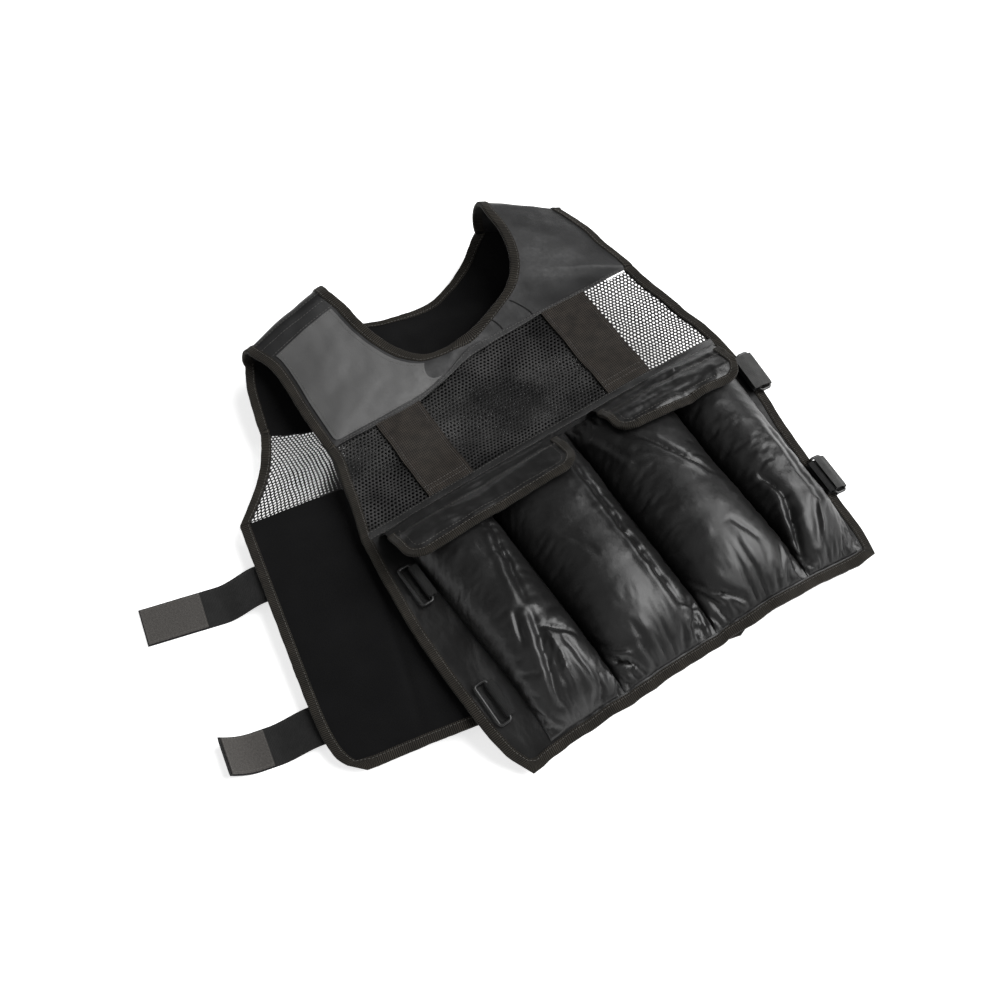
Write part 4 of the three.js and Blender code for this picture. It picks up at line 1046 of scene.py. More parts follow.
def net(name, node, inside, surface, low, high, open_at):
    step_x, step_y = NET_PITCH, NET_PITCH * math.sqrt(3) / 2
    columns = np.arange(int((high[0] - low[0]) / step_x) + 1)
    rows = np.arange(int((high[1] - low[1]) / step_y) + 1)
    j, i = np.meshgrid(rows, columns, indexing="ij")
    x = low[0] + (i + 0.5 * (j % 2)) * step_x
    y = low[1] + j * step_y
    kept = inside(x, y)
    x, y = x[kept], y[kept]
    corner_radius = NET_PITCH / math.sqrt(3)
    angles = np.radians(30 + 60 * np.arange(6))
    wobble = 1 + 0.09 * waves(x / 4.2, y / 4.2, 51)

    def corners(radius):
        return np.stack([x[:, None] + radius * np.cos(angles), y[:, None] + radius * np.sin(angles)], -1)

    inner = corners((NET_HOLE * wobble * open_at(x))[:, None])
    keys = np.round(corners(corner_radius).reshape(-1, 2) * NET_KEYS_PER_MM).astype(np.int64)
    shared, index = np.unique(keys, axis=0, return_inverse=True)
    index = index.reshape(-1, 6)
    flat = np.vstack([shared / NET_KEYS_PER_MM, inner.reshape(-1, 2)])
    hole_index = len(shared) + np.arange(len(x) * 6).reshape(-1, 6)
    wx = flat[:, 0] + NET_WARP * waves(flat[:, 0] / NET_WARP_LENGTH, flat[:, 1] / NET_WARP_LENGTH, 52)
    wy = flat[:, 1] + NET_WARP * waves(flat[:, 0] / NET_WARP_LENGTH, flat[:, 1] / NET_WARP_LENGTH, 53)
    points = surface(wx, wy)
    east = surface(wx + 1, wy) - surface(wx - 1, wy)
    north = surface(wx, wy + 1) - surface(wx, wy - 1)
    normals = unit(np.cross(east, north))
    normals *= np.sign(normals[:, 2:3])
    thick = np.where(np.arange(len(flat)) < len(shared), NET_THICK, NET_THIN)[:, None] * NET_THICKNESS
    top, bottom = points + normals * thick, points - normals * thick
    count = len(flat)
    following = np.roll(index, -1, 1)
    hole_following = np.roll(hole_index, -1, 1)
    web = np.stack([index, following, hole_following, hole_index], -1).reshape(-1, 4)
    wall = np.stack([hole_index, hole_following, hole_following + count, hole_index + count], -1)
    wall = wall.reshape(-1, 4)
    edges = np.stack([index, following], -1).reshape(-1, 2)
    _, first, times = np.unique(np.sort(edges, 1), axis=0, return_index=True, return_counts=True)
    rim = edges[first[times == 1]]
    rim_wall = np.stack([rim[:, 1], rim[:, 0], rim[:, 0] + count, rim[:, 1] + count], 1)
    faces = np.vstack([web, web[:, ::-1] + count, wall, rim_wall])
    uv = np.vstack([flat, flat])
    mesh = make_mesh(name, np.vstack([top, bottom]), faces, uv, sharp=0)
    piece = add_piece(name, mesh, NET, "mesh_cloth", node)


def in_front_mesh(x, y):
    _, across, up = mesh_at(x, y)
    return (np.abs(across) < NET_EDGE) & (up > 0.005) & (up < 1.0)


net(
    "front_mesh_net",
    "front_mesh",
    in_front_mesh,
    lambda x, y: mesh_at(x, y)[0],
    (-FRONT_NET_REACH, PANEL_HEIGHT),
    (FRONT_NET_REACH, PANEL_HEIGHT + FRONT_NET_TOP * MESH_HEIGHT),
    lambda x: FRONT_HOLE_SHARE + 0 * x,
)


def back_mesh_flat(s, t):
    """The back's mesh band at s and t millimetres across and up its flat cut."""
    across = np.clip(s / BACK_HALF_WIDTH, -1, 1)
    left, middle, right = (
        np.linalg.norm(back_mesh_place(side, 1.0) - back_mesh_place(side, 0.0)) for side in (-1.0, 0.0, 1.0)
    )
    height = np.where(across < 0, middle + (left - middle) * -across, middle + (right - middle) * across)
    return back_mesh_place(across, np.clip(t / height, 0, 1)), across, t / height


net(
    "back_mesh_net",
    "back_mesh",
    lambda s, t: (np.abs(s) < NET_EDGE * BACK_HALF_WIDTH) & (back_mesh_flat(s, t)[2] < 1.02),
    lambda s, t: back_mesh_flat(s, t)[0],
    (-BACK_HALF_WIDTH, 0),
    (BACK_HALF_WIDTH, BACK_NET_LENGTH),
    # Holes at a fifth of their size right of that place make the net painted shade over the floor.
    lambda s: 0.2 + 0.8 * np.clip((-s - OPEN_HOLES_FROM) / OPEN_HOLES_OVER, 0, 1),
)


# Weight pockets on the front: the edges between them in half widths, at the hem and at the top
POCKET_EDGES = [
    [-0.79, -0.83],
    [-0.42, -0.425],
    [0.062, 0.078],
    [0.56, 0.545],
    [0.872, 0.905],
]
# Share of the pocket's height, then of its full thickness
POCKET_FULLNESS = [
    [0, 0.02],
    [0.07, 0.42],
    [0.17, 0.82],
    [0.36, 1],
    [0.74, 0.98],
    [0.88, 0.8],
    [0.95, 0.5],
    [1, 0.06],
]
# Folds pressed into the pockets: pocket, across, up, turn in degrees, length, width, depth.
# Length and width are shares of the pocket's height, depth of POCKET_THICKNESS.
POCKET_FOLDS = [
    [0, 0.66, 0.6, 100, 0.24, 0.03, -0.16],
    [0, 0.52, 0.26, 62, 0.12, 0.03, -0.2],
    [0, 0.8, 0.3, 118, 0.12, 0.03, 0.14],
    [1, 0.8, 0.62, 102, 0.3, 0.035, -0.2],
    [1, 0.86, 0.1, 70, 0.07, 0.05, -0.34],
    [1, 0.12, 0.12, 60, 0.08, 0.04, -0.26],
    [2, 0.34, 0.72, 120, 0.11, 0.028, -0.26],
    [2, 0.12, 0.12, 110, 0.12, 0.04, -0.3],
    [3, 0.5, 0.24, 96, 0.12, 0.045, -0.2],
    [3, 0.78, 0.2, 40, 0.1, 0.035, 0.12],
]
POCKET_LENGTH = PANEL_HEIGHT - POCKET_HEM_MARGIN - POCKET_TOP_MARGIN
POCKET_LIFT = CLOTH / 2 + 0.3
POCKET_COLUMNS = 52
POCKET_ROWS = 118


def crown(across):
    return np.maximum(1 - np.abs(2 * across - 1) ** 2.4, 0) ** 0.6


def pocket_edge(index, up):
    hem, top = POCKET_EDGES[index]
    return (hem + (top - hem) * up) * HALF_WIDTH


def fold_depth(pocket, across, up, width):
    depth = np.zeros(np.broadcast(across, up).shape)
    for which, fold_across, fold_up, turn, length, breadth, share in POCKET_FOLDS:
        if which != pocket:
            continue
        dx = (across - fold_across) * width
        dy = (up - fold_up) * POCKET_LENGTH
        c, s = math.cos(math.radians(turn)), math.sin(math.radians(turn))
        lengthwise = (dx * c + dy * s) / (length * POCKET_LENGTH)
        crosswise = (dy * c - dx * s) / (breadth * POCKET_LENGTH)
        depth += share * np.exp(-(lengthwise**2) - crosswise**2)
    return depth * POCKET_THICKNESS


def pocket_bulge(pocket, across, up):
    full = POCKET_THICKNESS * along(POCKET_FULLNESS, 1, up) * crown(across)
    width = pocket_edge(pocket + 1, up) - pocket_edge(pocket, up)
    return full + fold_depth(pocket, across, up, width) * crown(across) * crown(up)


def pocket_wrinkles(pocket, across, up, width):
    """Puckers along the seams and crush marks all over the filled nylon."""
    x = across * width
    y = up * POCKET_LENGTH
    seed = 60 + 10 * pocket
    ends = np.minimum(y, POCKET_LENGTH - y)
    sides = np.minimum(x, width - x)
    gathers = np.exp(-ends / 26) * np.clip(ends / 5, 0, 1)
    pucker = 3.2 * gathers * waves(x / 9 + 0.25 * waves(y / 30, x / 30, seed), y / 80, seed + 1)
    side_pull = np.exp(-sides / 15) * np.clip(sides / 3, 0, 1)
    drag = 2 * side_pull * waves((y + 0.6 * x) / 13, x / 40, seed + 2)
    sweep = 1.8 * creases(x / 34 + 0.3 * waves(x / 50, y / 50, seed), y / 90, seed + 3)
    crush = 0.9 * creases(x / 15, y / 26, seed + 4) + 0.45 * waves(x / 6, y / 8, seed + 5)
    return pucker + drag + (sweep + crush) * np.clip(crown(across) * crown(up) * 1.2, 0, 1)


def pocket_grids(pocket):
    across, up = shares_over(0, POCKET_COLUMNS, POCKET_ROWS)
    left = pocket_edge(pocket, up) + POCKET_SPACE / 2
    right = pocket_edge(pocket + 1, up) - POCKET_SPACE / 2
    base = front_at(left + (right - left) * across, POCKET_HEM_MARGIN + up * POCKET_LENGTH + 0 * across)
    base[..., 2] += POCKET_LIFT
    top = base.copy()
    bulge = pocket_bulge(pocket, across, up) + pocket_wrinkles(pocket, across, up, right - left)
    top[..., 2] += 1.0 + np.maximum(bulge, 0)
    return base, top


# The tops are cut larger than the seams that hold them, so the filled nylon gathers there
SIM_SCALE = 0.01
SIM_FRAMES = 28
SIM_DRAWN_BY = 8
CUT_GROWTH = 0.11
CUT_LENGTHWISE = 0.925
SIM_START_FULL = 0.78
CLOTH_SETTINGS = {
    "quality": 4,
    "mass": 0.01,
    "tension_stiffness": 30,
    "compression_stiffness": 30,
    "shear_stiffness": 8,
    "bending_stiffness": 0.01,
    "tension_damping": 0.2,
    "compression_damping": 0.2,
    "shear_damping": 0.2,
    "air_damping": 1.5,
    "vertex_group_mass": "seams",
    "shrink_min": -CUT_GROWTH,
    "shrink_max": -CUT_GROWTH,
    "use_pressure": True,
    "uniform_pressure_force": 5,
}


def filled(bases, tops):
    """Blows up all the pockets' tops at once over their sewn borders."""
    rows, columns = tops[0].shape[:2]
    count = rows * columns
    sewn, short, faces, held = [], [], [], []
    for number, (base, top) in enumerate(zip(bases, tops)):
        flatter = base + (top - base) * SIM_START_FULL
        sewn.append(flatter.reshape(-1, 3))
        short.append((flatter * [1, CUT_LENGTHWISE, 1]).reshape(-1, 3))
        faces.extend(grid_faces(rows, columns, number * count).tolist())
        inside = np.zeros((rows, columns), bool)
        inside[1:-1, 1:-1] = True
        held.extend((np.flatnonzero(~inside.ravel()) + number * count).tolist())
    mesh = bpy.data.meshes.new("nylon_cut")
    mesh.from_pydata((np.vstack(short) * SIM_SCALE).tolist(), [], faces)
    cloth = bpy.data.objects.new("nylon_cut", mesh)
    bpy.context.scene.collection.objects.link(cloth)
    cloth.vertex_groups.new(name="seams").add(held, 1.0, "REPLACE")
    # The seams are drawn out to their length, which leaves the nylon slack across the pockets
    cloth.shape_key_add(name="short")
    drawn = cloth.shape_key_add(name="sewn")
    drawn.data.foreach_set("co", (np.vstack(sewn) * SIM_SCALE).ravel())
    drawn.value = 0
    drawn.keyframe_insert("value", frame=1)
    drawn.value = 1
    drawn.keyframe_insert("value", frame=SIM_DRAWN_BY)
    modifier = cloth.modifiers.new("cloth", "CLOTH")
    settings = modifier.settings
    for name, value in CLOTH_SETTINGS.items():
        setattr(settings, name, value)
    settings.effector_weights.gravity = 0
    modifier.collision_settings.use_collision = False
    scene = bpy.context.scene
    for moment in range(1, SIM_FRAMES + 1):
        scene.frame_set(moment)
    view = bpy.context.evaluated_depsgraph_get()
    settled = cloth.evaluated_get(view).to_mesh()
    places = np.empty(len(settled.vertices) * 3)
    settled.vertices.foreach_get("co", places)
    grids = places.reshape(len(tops), rows, columns, 3) / SIM_SCALE
    scene.frame_set(1)
    bpy.data.objects.remove(cloth)
    return kept_apart(grids)


# Folds pressed into the filled nylon: pocket, start across and up, end across and up, then the
# width and depth of the fold in millimetres
PRESSED_FOLDS = [
    [0, 0.92, 0.82, 0.6, 0.42, 3.6, 5.5],
    [0, 0.6, 0.4, 0.26, 0.06, 3.4, 5],
    [0, 0.56, 0.33, 0.88, 0.24, 2.6, 3.6],
    [0, 0.6, 0.31, 0.48, 0.05, 2.4, -3.4],
    [0, 0.68, 0.28, 0.74, 0.04, 2.6, 3],
    [0, 0.44, 0.42, 0.3, 0.3, 2.2, 2.4],
    [1, 0.8, 0.9, 0.78, 0.1, 3.2, 6],
    [1, 0.78, 0.16, 0.97, 0.1, 2.2, 4],
    [1, 0.8, 0.09, 0.95, 0.03, 2, -3.4],
    [1, 0.04, 0.17, 0.26, 0.1, 2.4, 3.6],
    [1, 0.05, 0.1, 0.22, 0.05, 2, 3],
    [1, 0.3, 0.62, 0.46, 0.44, 3, 2],
    [2, 0.36, 0.8, 0.76, 0.49, 2.8, 5.5],
    [2, 0.1, 0.15, 0.36, 0.03, 2.6, 4],
    [2, 0.58, 0.3, 0.72, 0.18, 2.4, 2.4],
    [2, 0.14, 0.9, 0.28, 0.66, 3, 3.4],
    [3, 0.24, 0.42, 0.34, 0.27, 3.2, 4.5],
    [3, 0.36, 0.3, 0.05, 0.05, 4.4, 8],
    [3, 0.7, 0.22, 0.4, 0.05, 2.6, -3.2],
    [3, 0.84, 0.62, 0.72, 0.2, 3.4, 3],
]
FOLD_RIDGE = 0.6
# A filled pocket ends this far from the edge to its neighbour, and may pass its outer edges by this
POCKET_ROOM = 0.35
OUTER_ROOM = 4
HEM_ROOM = 3
TOP_ROOM = 2


def pressed(index, grid):
    """The folds' rise over one pocket: a valley with a ridge beside it."""
    rows, columns = grid.shape[:2]
    across, up = np.meshgrid(fan(0, 1, columns), fan(0, 1, rows))
    width = pocket_edge(index + 1, up) - pocket_edge(index, up)
    x, y = across * width, up * POCKET_LENGTH
    middle = (POCKET_EDGES[index + 1][0] - POCKET_EDGES[index][0]) * HALF_WIDTH
    rise = np.zeros((rows, columns))
    for number, (which, x0, y0, x1, y1, breadth, depth) in enumerate(PRESSED_FOLDS):
        if which != index:
            continue
        start = np.array([x0 * middle, y0 * POCKET_LENGTH])
        reach = np.array([x1 * middle, y1 * POCKET_LENGTH]) - start
        length = math.hypot(*reach)
        share = ((x - start[0]) * reach[0] + (y - start[1]) * reach[1]) / length**2
        off = ((x - start[0]) * reach[1] - (y - start[1]) * reach[0]) / length
        off += 1.6 * waves(share * length / 16, number, 95)
        taper = np.clip(4 * share * (1 - share), 0, 1) ** 0.6
        side = off / breadth
        valley = np.exp(-np.abs(side) ** 1.5)
        ridge = FOLD_RIDGE * np.exp(-(((side - 2) / 1.4) ** 2))
        rise += depth * taper * (ridge - valley)
    return rise * np.clip(crown(across) * 1.6, 0, 1)


def kept_apart(grids):
    """Each pocket stays between its neighbours and on the panel."""
    for index, grid in enumerate(grids):
        grid[..., 2] += pressed(index, grid)
        share = np.clip((grid[..., 1] - POCKET_HEM_MARGIN) / POCKET_LENGTH, 0, 1)
        low = pocket_edge(index, share) + POCKET_ROOM - (OUTER_ROOM if index == 0 else 0)
        high = pocket_edge(index + 1, share) - POCKET_ROOM + (OUTER_ROOM if index == 3 else 0)
        grid[..., 0] = np.clip(grid[..., 0], low, high)
        hem, end = POCKET_HEM_MARGIN - HEM_ROOM, POCKET_HEM_MARGIN + POCKET_LENGTH + TOP_ROOM
        grid[..., 1] = np.clip(grid[..., 1], hem, end)
        floor_z = front_at(grid[..., 0], grid[..., 1])[..., 2] + POCKET_LIFT + 0.6
        grid[..., 2] = np.maximum(grid[..., 2], floor_z)
    return grids


pocket_bases, pocket_tops = zip(*(pocket_grids(index) for index in range(4)))
pocket_tops = filled(pocket_bases, pocket_tops)
for index, (base, top) in enumerate(zip(pocket_bases, pocket_tops)):
    name = f"pocket_front_{index + 1}_cloth"
    piece = add_piece(name, two_sided(name, top, base), NYLON, "nylon", f"pocket_front_{index + 1}")


def tree_of(grids):
    points, faces = [], []
    for grid in grids:
        faces.extend(grid_faces(*grid.shape[:2], start=sum(map(len, points))).tolist())
        points.append(grid.reshape(-1, 3))
    return BVHTree.FromPolygons(np.vstack(points).tolist(), faces)


pocket_tree = tree_of(pocket_tops)
PROBE_HEIGHT = 400


def top_of(tree, x, y):
    hit = tree.ray_cast(Vector((x, y, PROBE_HEIGHT)), Vector((0, 0, -1)))[0]
    return None if hit is None else hit.z


# Flaps over the pocket tops
# Left and right ends in half widths, seed, and the pocket that the flap lies on
FLAPS = {
    "flap_left": (-0.88, -0.01, 81, "pocket_front_1_cloth"),
    "flap_right": (0.215, 0.885, 91, "pocket_front_4_cloth"),
}
FLAP_BASE = PANEL_HEIGHT - SEAM_STRIP / 2 - 1
FLAP_CLOTH = 1.6
FLAP_BRIDGE = 30
FLAP_STITCH_MARGIN = 11
FLAP_CREASE = 20
FLAP_CREASE_DEPTH = 1.8
FLAP_CREASE_WIDTH = 2.6
# Share of the height of the nearest pockets at which the flap is stretched between them
FLAP_TAUT = 0.94
FLAP_ROUNDING = 7
FLAP_BORDER_START = 6
FLAP_TAPE_REACH = 0.8
# Places round a point of the flap where the pocket under it is felt for
FLAP_PROBES = [(dx, dy) for dx in (-9, 0, 9) for dy in (-5, 5)]


def flap(name):
    left, right, seed, pocket = FLAPS[name]
    left, right = left * HALF_WIDTH, right * HALF_WIDTH
    columns, rows = 96, 34
    down = np.sin(fan(0, np.pi / 2, rows)) * FLAP_LENGTH
    low = np.maximum(down - (FLAP_LENGTH - FLAP_CORNER), 0)
    inset = FLAP_CORNER - np.sqrt(np.maximum(FLAP_CORNER**2 - low**2, 0))
    inset = np.minimum(inset, FLAP_CORNER * 0.92)[:, None]
    x = left + inset + (right - left - 2 * inset) * fan(0, 1, columns)[None]
    y = FLAP_BASE - down[:, None] + 0 * x
    y += 1.4 * waves(x / 45, seed, 3) * (down[:, None] / FLAP_LENGTH)
    under = front_at(x, y)[..., 2] + CLOTH / 2
    resting = under.copy()
    for j in range(rows):
        for i in range(columns):
            near = [top_of(pocket_tree, x[j, i] + dx, y[j, i] + dy) for dx, dy in FLAP_PROBES]
            resting[j, i] = max([under[j, i]] + [value for value in near if value is not None])
    reach = int(FLAP_BRIDGE / ((right - left) / columns))
    spread = np.pad(resting - under, ((0, 0), (reach, reach)), mode="edge")
    windows = np.lib.stride_tricks.sliding_window_view(spread, 2 * reach + 1, axis=1)
    resting = under + windows.max(-1) * FLAP_TAUT + (resting - under) * (1 - FLAP_TAUT)
    resting = np.maximum(blurred(resting, 10), resting - 1.5)
    start = np.clip(down / FLAP_ROUNDING, 0, 1)[:, None]
    lift = 3 + 1.7 * creases(y / 21 + 0.4 * waves(x / 60, y / 60, seed), x / 120, seed + 1)
    lift += 0.9 * waves(x / 18, y / 14, seed + 2) + 0.5 * creases(x / 12, y / 16, seed + 3)
    lift += 2.2 * waves(x / 44, y / 34, seed + 4)
    lift -= FLAP_CREASE_DEPTH * np.exp(-(((down - FLAP_CREASE) / FLAP_CREASE_WIDTH) ** 2))[:, None]
    z = under + 1.6 + (resting - under + np.maximum(lift, 0.5)) * start**0.7
    grid = place(x, y, z)
    normals = normals_of(grid)
    mesh = sheet_mesh(name + "_cloth", grid, FLAP_CLOTH)
    piece = add_piece(name + "_cloth", mesh, NYLON, "nylon", name)
    # The border runs down the left side, along the lower edge and up the right side.
    rim = rows - 1
    west = [(j, 0) for j in range(FLAP_BORDER_START, rim)]
    south = [(rim, i) for i in range(columns)]
    east = [(j, columns - 1) for j in range(rim - 1, FLAP_BORDER_START - 1, -1)]
    border = west + south + east
    edge = np.array([grid[j, i] for j, i in border])
    flat_tangent = unit(np.gradient(edge, axis=0) * [1, 1, 0])
    inward_flat = np.stack([-flat_tangent[:, 1], flat_tangent[:, 0], 0 * flat_tangent[:, 0]], -1)
    middle = np.array([(left + right) / 2, FLAP_BASE - FLAP_LENGTH / 2, 0])
    inward_flat *= np.sign(np.sum(inward_flat * (middle - edge), -1, keepdims=True))
    flap_tree = tree_of([grid])
    inward = np.empty((len(edge), len(TAPE_DISTANCES), 3))
    for k, distance in enumerate(TAPE_DISTANCES * FLAP_TAPE_REACH):
        spot = edge + inward_flat * distance
        for row, point in enumerate(spot):
            z_here = top_of(flap_tree, point[0], point[1])
            inward[row, k] = (point[0], point[1], edge[row, 2] if z_here is None else z_here)
        inward[:, k, 2] = smooth_line(inward[:, k, 2], 2)
    inward[:, 0] = edge
    inner = edge + inward_flat * FLAP_STITCH_MARGIN
    heights = [top_of(flap_tree, point[0], point[1]) for point in inner]
    seen = np.array([height is not None for height in heights])
    inner[seen, 2] = [height for height in heights if height is not None]
    inner[:, 2] += FLAP_CLOTH / 2
    stitch_row(inner[seen], np.tile([0.0, 0, 1], (seen.sum(), 1)))
    binding(name + "_binding_tape", inward, name + "_binding", seed, FLAP_CLOTH)
    for row in (2, 9):
        stitches_on(grid, normals, FLAP_CLOTH / 2 - STITCH_SINK, row=row)


def smooth_line(values, passes):
    for _ in range(passes):
        padded = np.pad(values, 1, mode="edge")
        values = (padded[:-2] + 2 * values + padded[2:]) / 4
    return values


for name in FLAPS:
    flap(name)


# Bindings of the front and back
SIDE_STATIONS = 64
HEM_STATIONS = 104
MESH_EDGE_TO = 0.8


def panel_edge(surface_at, left_x, right_x, height):
    """Stations down the left side, along the hem and up the right side, mitred at the corners.

    Each is a place and its direction in from the edge, along X and along Y.
    """
    stations = [(left_x(y), y, 1, 0) for y in fan(height, EDGE_DEPTH + 1, SIDE_STATIONS)]
    stations.append((left_x(0.0), 0, 1, 1))
    start, end = left_x(0.0) + EDGE_DEPTH + 1, right_x(0.0) - EDGE_DEPTH - 1
    stations += [(x, 0, 0, 1) for x in fan(start, end, HEM_STATIONS)]
    stations.append((right_x(0.0), 0, -1, 1))
    stations += [(right_x(y), y, -1, 0) for y in fan(EDGE_DEPTH + 1, height, SIDE_STATIONS)]
    rows = np.array(stations, float)
    x = rows[:, 0:1] + rows[:, 2:3] * TAPE_DISTANCES
    y = rows[:, 1:2] + rows[:, 3:4] * TAPE_DISTANCES
    return surface_at(x, y)


front_border = panel_edge(
    front_at,
    lambda y: float(panel_side_x(y, 1)),
    lambda y: float(panel_side_x(y, 2)),
    PANEL_HEIGHT,
)
binding("front_edge_tape", front_border, "front_edge_binding", 1)


def back_side_x(y):
    return float(along(BACK_SIDES, 1, y / BACK_PANEL_HEIGHT) * BACK_HALF_WIDTH)


back_border = panel_edge(back_at, lambda y: -back_side_x(y), back_side_x, BACK_PANEL_HEIGHT)
binding("back_edge_tape", back_border, "back_edge_binding", 2)
binding("front_neck_tape", inward_points(front_yoke, TAPE_DISTANCES), "front_neck_binding", 3)
binding("back_neck_tape", inward_points(back_rows, TAPE_DISTANCES), "back_neck_binding", 4)


def yoke_side(grid, rows):
    return inward_points(grid[rows][:, ::-1], TAPE_DISTANCES)


def band_side(band_at, side):
    """Points in from the left or the right side of a mesh band, from its foot up."""
    grid = band_at(fan(side, side * MESH_EDGE_TO, 12)[None], fan(0, 1, 30)[:, None])
    return inward_points(grid, TAPE_DISTANCES)


front_from = FOLD_STEPS + int(FRONT_SEAM_FROM * (len(front_stations) - 1))
front_to = FOLD_STEPS + int(FRONT_SEAM_TO * (len(front_stations) - 1))
back_from = int(BACK_SEAM_FROM * (len(back_stations) - 1))
back_to = int(BACK_SEAM_TO * (len(back_stations) - 1))
left_rows = slice(0, front_from + 1)
right_rows = slice(front_to + 1, None)
back_left_rows = slice(0, back_from + 1)
back_right_rows = slice(back_to + 1, None)
ARMHOLES = {
    "front_armhole_%s_left": [yoke_side(front_yoke, left_rows), band_side(mesh_place, -1)[::-1]],
    "front_armhole_%s_right": [band_side(mesh_place, 1), yoke_side(front_yoke, right_rows)],
    "back_armhole_%s_left": [yoke_side(back_rows, back_left_rows), band_side(back_mesh_place, -1)[::-1]],
    "back_armhole_%s_right": [band_side(back_mesh_place, 1), yoke_side(back_rows, back_right_rows)],
}
for seed, (name, sides) in enumerate(ARMHOLES.items(), 5):
    binding(name % "tape", np.concatenate(sides), name % "binding", seed)

# Seam strips
STRIP_LIFT = CLOTH / 2 + 0.15 + TAPE / 2
strip_y = fan(-0.5, 0.5, 7)[:, None] * SEAM_STRIP
strip_x = fan(-0.93, 0.945, 150)[None] * HALF_WIDTH
strip_low = front_at(strip_x, np.minimum(PANEL_HEIGHT + strip_y, PANEL_HEIGHT))
strip_high = mesh_at(strip_x, np.maximum(PANEL_HEIGHT + strip_y, PANEL_HEIGHT + 0.1))[0]
pocket_strip = np.where((strip_y < 0)[..., None], strip_low, strip_high)
pocket_strip = np.stack([blurred(pocket_strip[..., axis], 2) for axis in range(3)], -1)


def strip(name, grid, material, slot, node, rows):
    """A tape over a seam, stitched along two of its rows."""
    add_piece(name, sheet_mesh(name, grid, TAPE, STRIP_LIFT), material, slot, node)
    for row in rows:
        stitches_on(grid, normals_of(grid), STRIP_LIFT + TAPE / 2 - STITCH_SINK, row=row)


strip("pocket_top_tape", pocket_strip, NYLON, "nylon", "pocket_top_strip", (1, 5))

seam_rows = slice(front_from + 3, front_to - 1)
yoke_strip = inward_points(front_yoke[seam_rows][:, ::-1], np.array([0.3, 1.5, 4, 7, SEAM_STRIP]))
yoke_strip = np.swapaxes(yoke_strip, 0, 1)
strip("yoke_seam_tape", yoke_strip, YOKE_CLOTH, "yoke_cloth", "yoke_seam_strip", (1, 3))

# Patch on the left half of the yoke
# Shares of the yoke's stations, from its left end
PATCH_START = 0.055
PATCH_END_NECK = 0.35
PATCH_END_SEAM = 0.43
PATCH_MARGIN = 3
PATCH_ROWS = 70


def patch_grid():
    made = np.empty((PATCH_ROWS, len(YOKE_SHARES), 3))
    for column, outward in enumerate(YOKE_SHARES):
        end = PATCH_END_NECK + (PATCH_END_SEAM - PATCH_END_NECK) * outward
        stations = fan(PATCH_START, end, PATCH_ROWS) * (len(front_rows) - 1)
        low = stations.astype(int)
        share = (stations - low)[:, None, None]
        rows = front_rows[low] * (1 - share) + front_rows[low + 1] * share
        for row, line in enumerate(rows):
            length = lengths_of(line)
            inner = EDGE_DEPTH + PATCH_MARGIN
            outer = length[-1] - SEAM_STRIP - PATCH_MARGIN
            at = inner + (outer - inner) * outward
            made[row, column] = at_lengths(line, length, at)
    return made


patch = patch_grid()
PATCH_THICKNESS = 0.8
PATCH_LIFT = CLOTH / 2 + 0.25 + PATCH_THICKNESS / 2
patch_mesh = sheet_mesh("yoke_patch_cloth", patch, PATCH_THICKNESS, PATCH_LIFT, uv=patch[..., :2])
# The patch's light grey cloth is painted sheen.
add_piece("yoke_patch_cloth", patch_mesh, PATCH_CLOTH_PAINTED_SHEEN, "patch_cloth", "yoke_patch")
stitches_round(patch, normals_of(patch), PATCH_LIFT + PATCH_THICKNESS / 2)

# Two narrow seams between the neck and the mesh, each from a station of the neckline to one of
# the yoke's lower edge
YOKE_SEAMS = {"yoke_seam_upper": (0.635, 0.585), "yoke_seam_lower": (0.572, 0.54)}
YOKE_SEAM_WIDTH = 1.6
YOKE_SEAM_HEIGHT = 0.5


def yoke_seam(name):
    columns = np.arange(4, len(YOKE_SHARES) - 4)
    start, end = YOKE_SEAMS[name]
    stations = (start + (end - start) * YOKE_SHARES[columns]) * (len(front_rows) - 1)
    low = stations.astype(int)
    share = (stations - low)[:, None]
    line = front_rows[low, columns] * (1 - share) + front_rows[low + 1, columns] * share
    tangent = unit(np.gradient(line, axis=0))
    across = unit(np.cross([0, 0, 1.0], tangent))
    lift = CLOTH / 2 + 0.1
    mesh = ribbon_mesh(name, line, across, YOKE_SEAM_WIDTH, YOKE_SEAM_HEIGHT, lift, 4)[0]
    # The seam's near-black cloth is painted shade.
    add_piece(name, mesh, SEAM_CLOTH_PAINTED_SHADE, "yoke_cloth")


# Chest webbing
WEBBING_THICKNESS = 1.8


def chest_webbing(name, middle_x):
    sides = fan(-0.5, 0.5, 14)[None] * CHEST_WEBBING_WIDTH
    shares = fan(0, 1, 44)[:, None]
    x = middle_x + sides + 0 * shares
    _, across, _ = mesh_at(x, PANEL_HEIGHT + 0.5 * MESH_HEIGHT + 0 * x)
    top = along(YOKE_SEAM, 1, across) * MESH_HEIGHT
    low = SEAM_STRIP / 2 - 1
    y = PANEL_HEIGHT + low + (top + 1.5 - low) * shares
    grid = mesh_at(x, y)[0]
    grid[..., 2] = blurred(grid[..., 2], 8)
    normals = normals_of(grid)
    lift = CLOTH / 2 + 0.1 + WEBBING_THICKNESS / 2
    mesh = sheet_mesh(name + "_web", grid, WEBBING_THICKNESS, lift)
    add_piece(name + "_web", mesh, WEBBING, "webbing", name)
    stitch_lift = lift + WEBBING_THICKNESS / 2 - WEBBING_SINK
    for column in (1, -2):
        stitches_on(grid, normals, stitch_lift, column=column)
    for row in (3, 5):
        stitches_on(grid, normals, stitch_lift, row=row)


chest_webbing("chest_webbing_left", -CHEST_WEBBING_OFFSET)
chest_webbing("chest_webbing_right", CHEST_WEBBING_OFFSET)


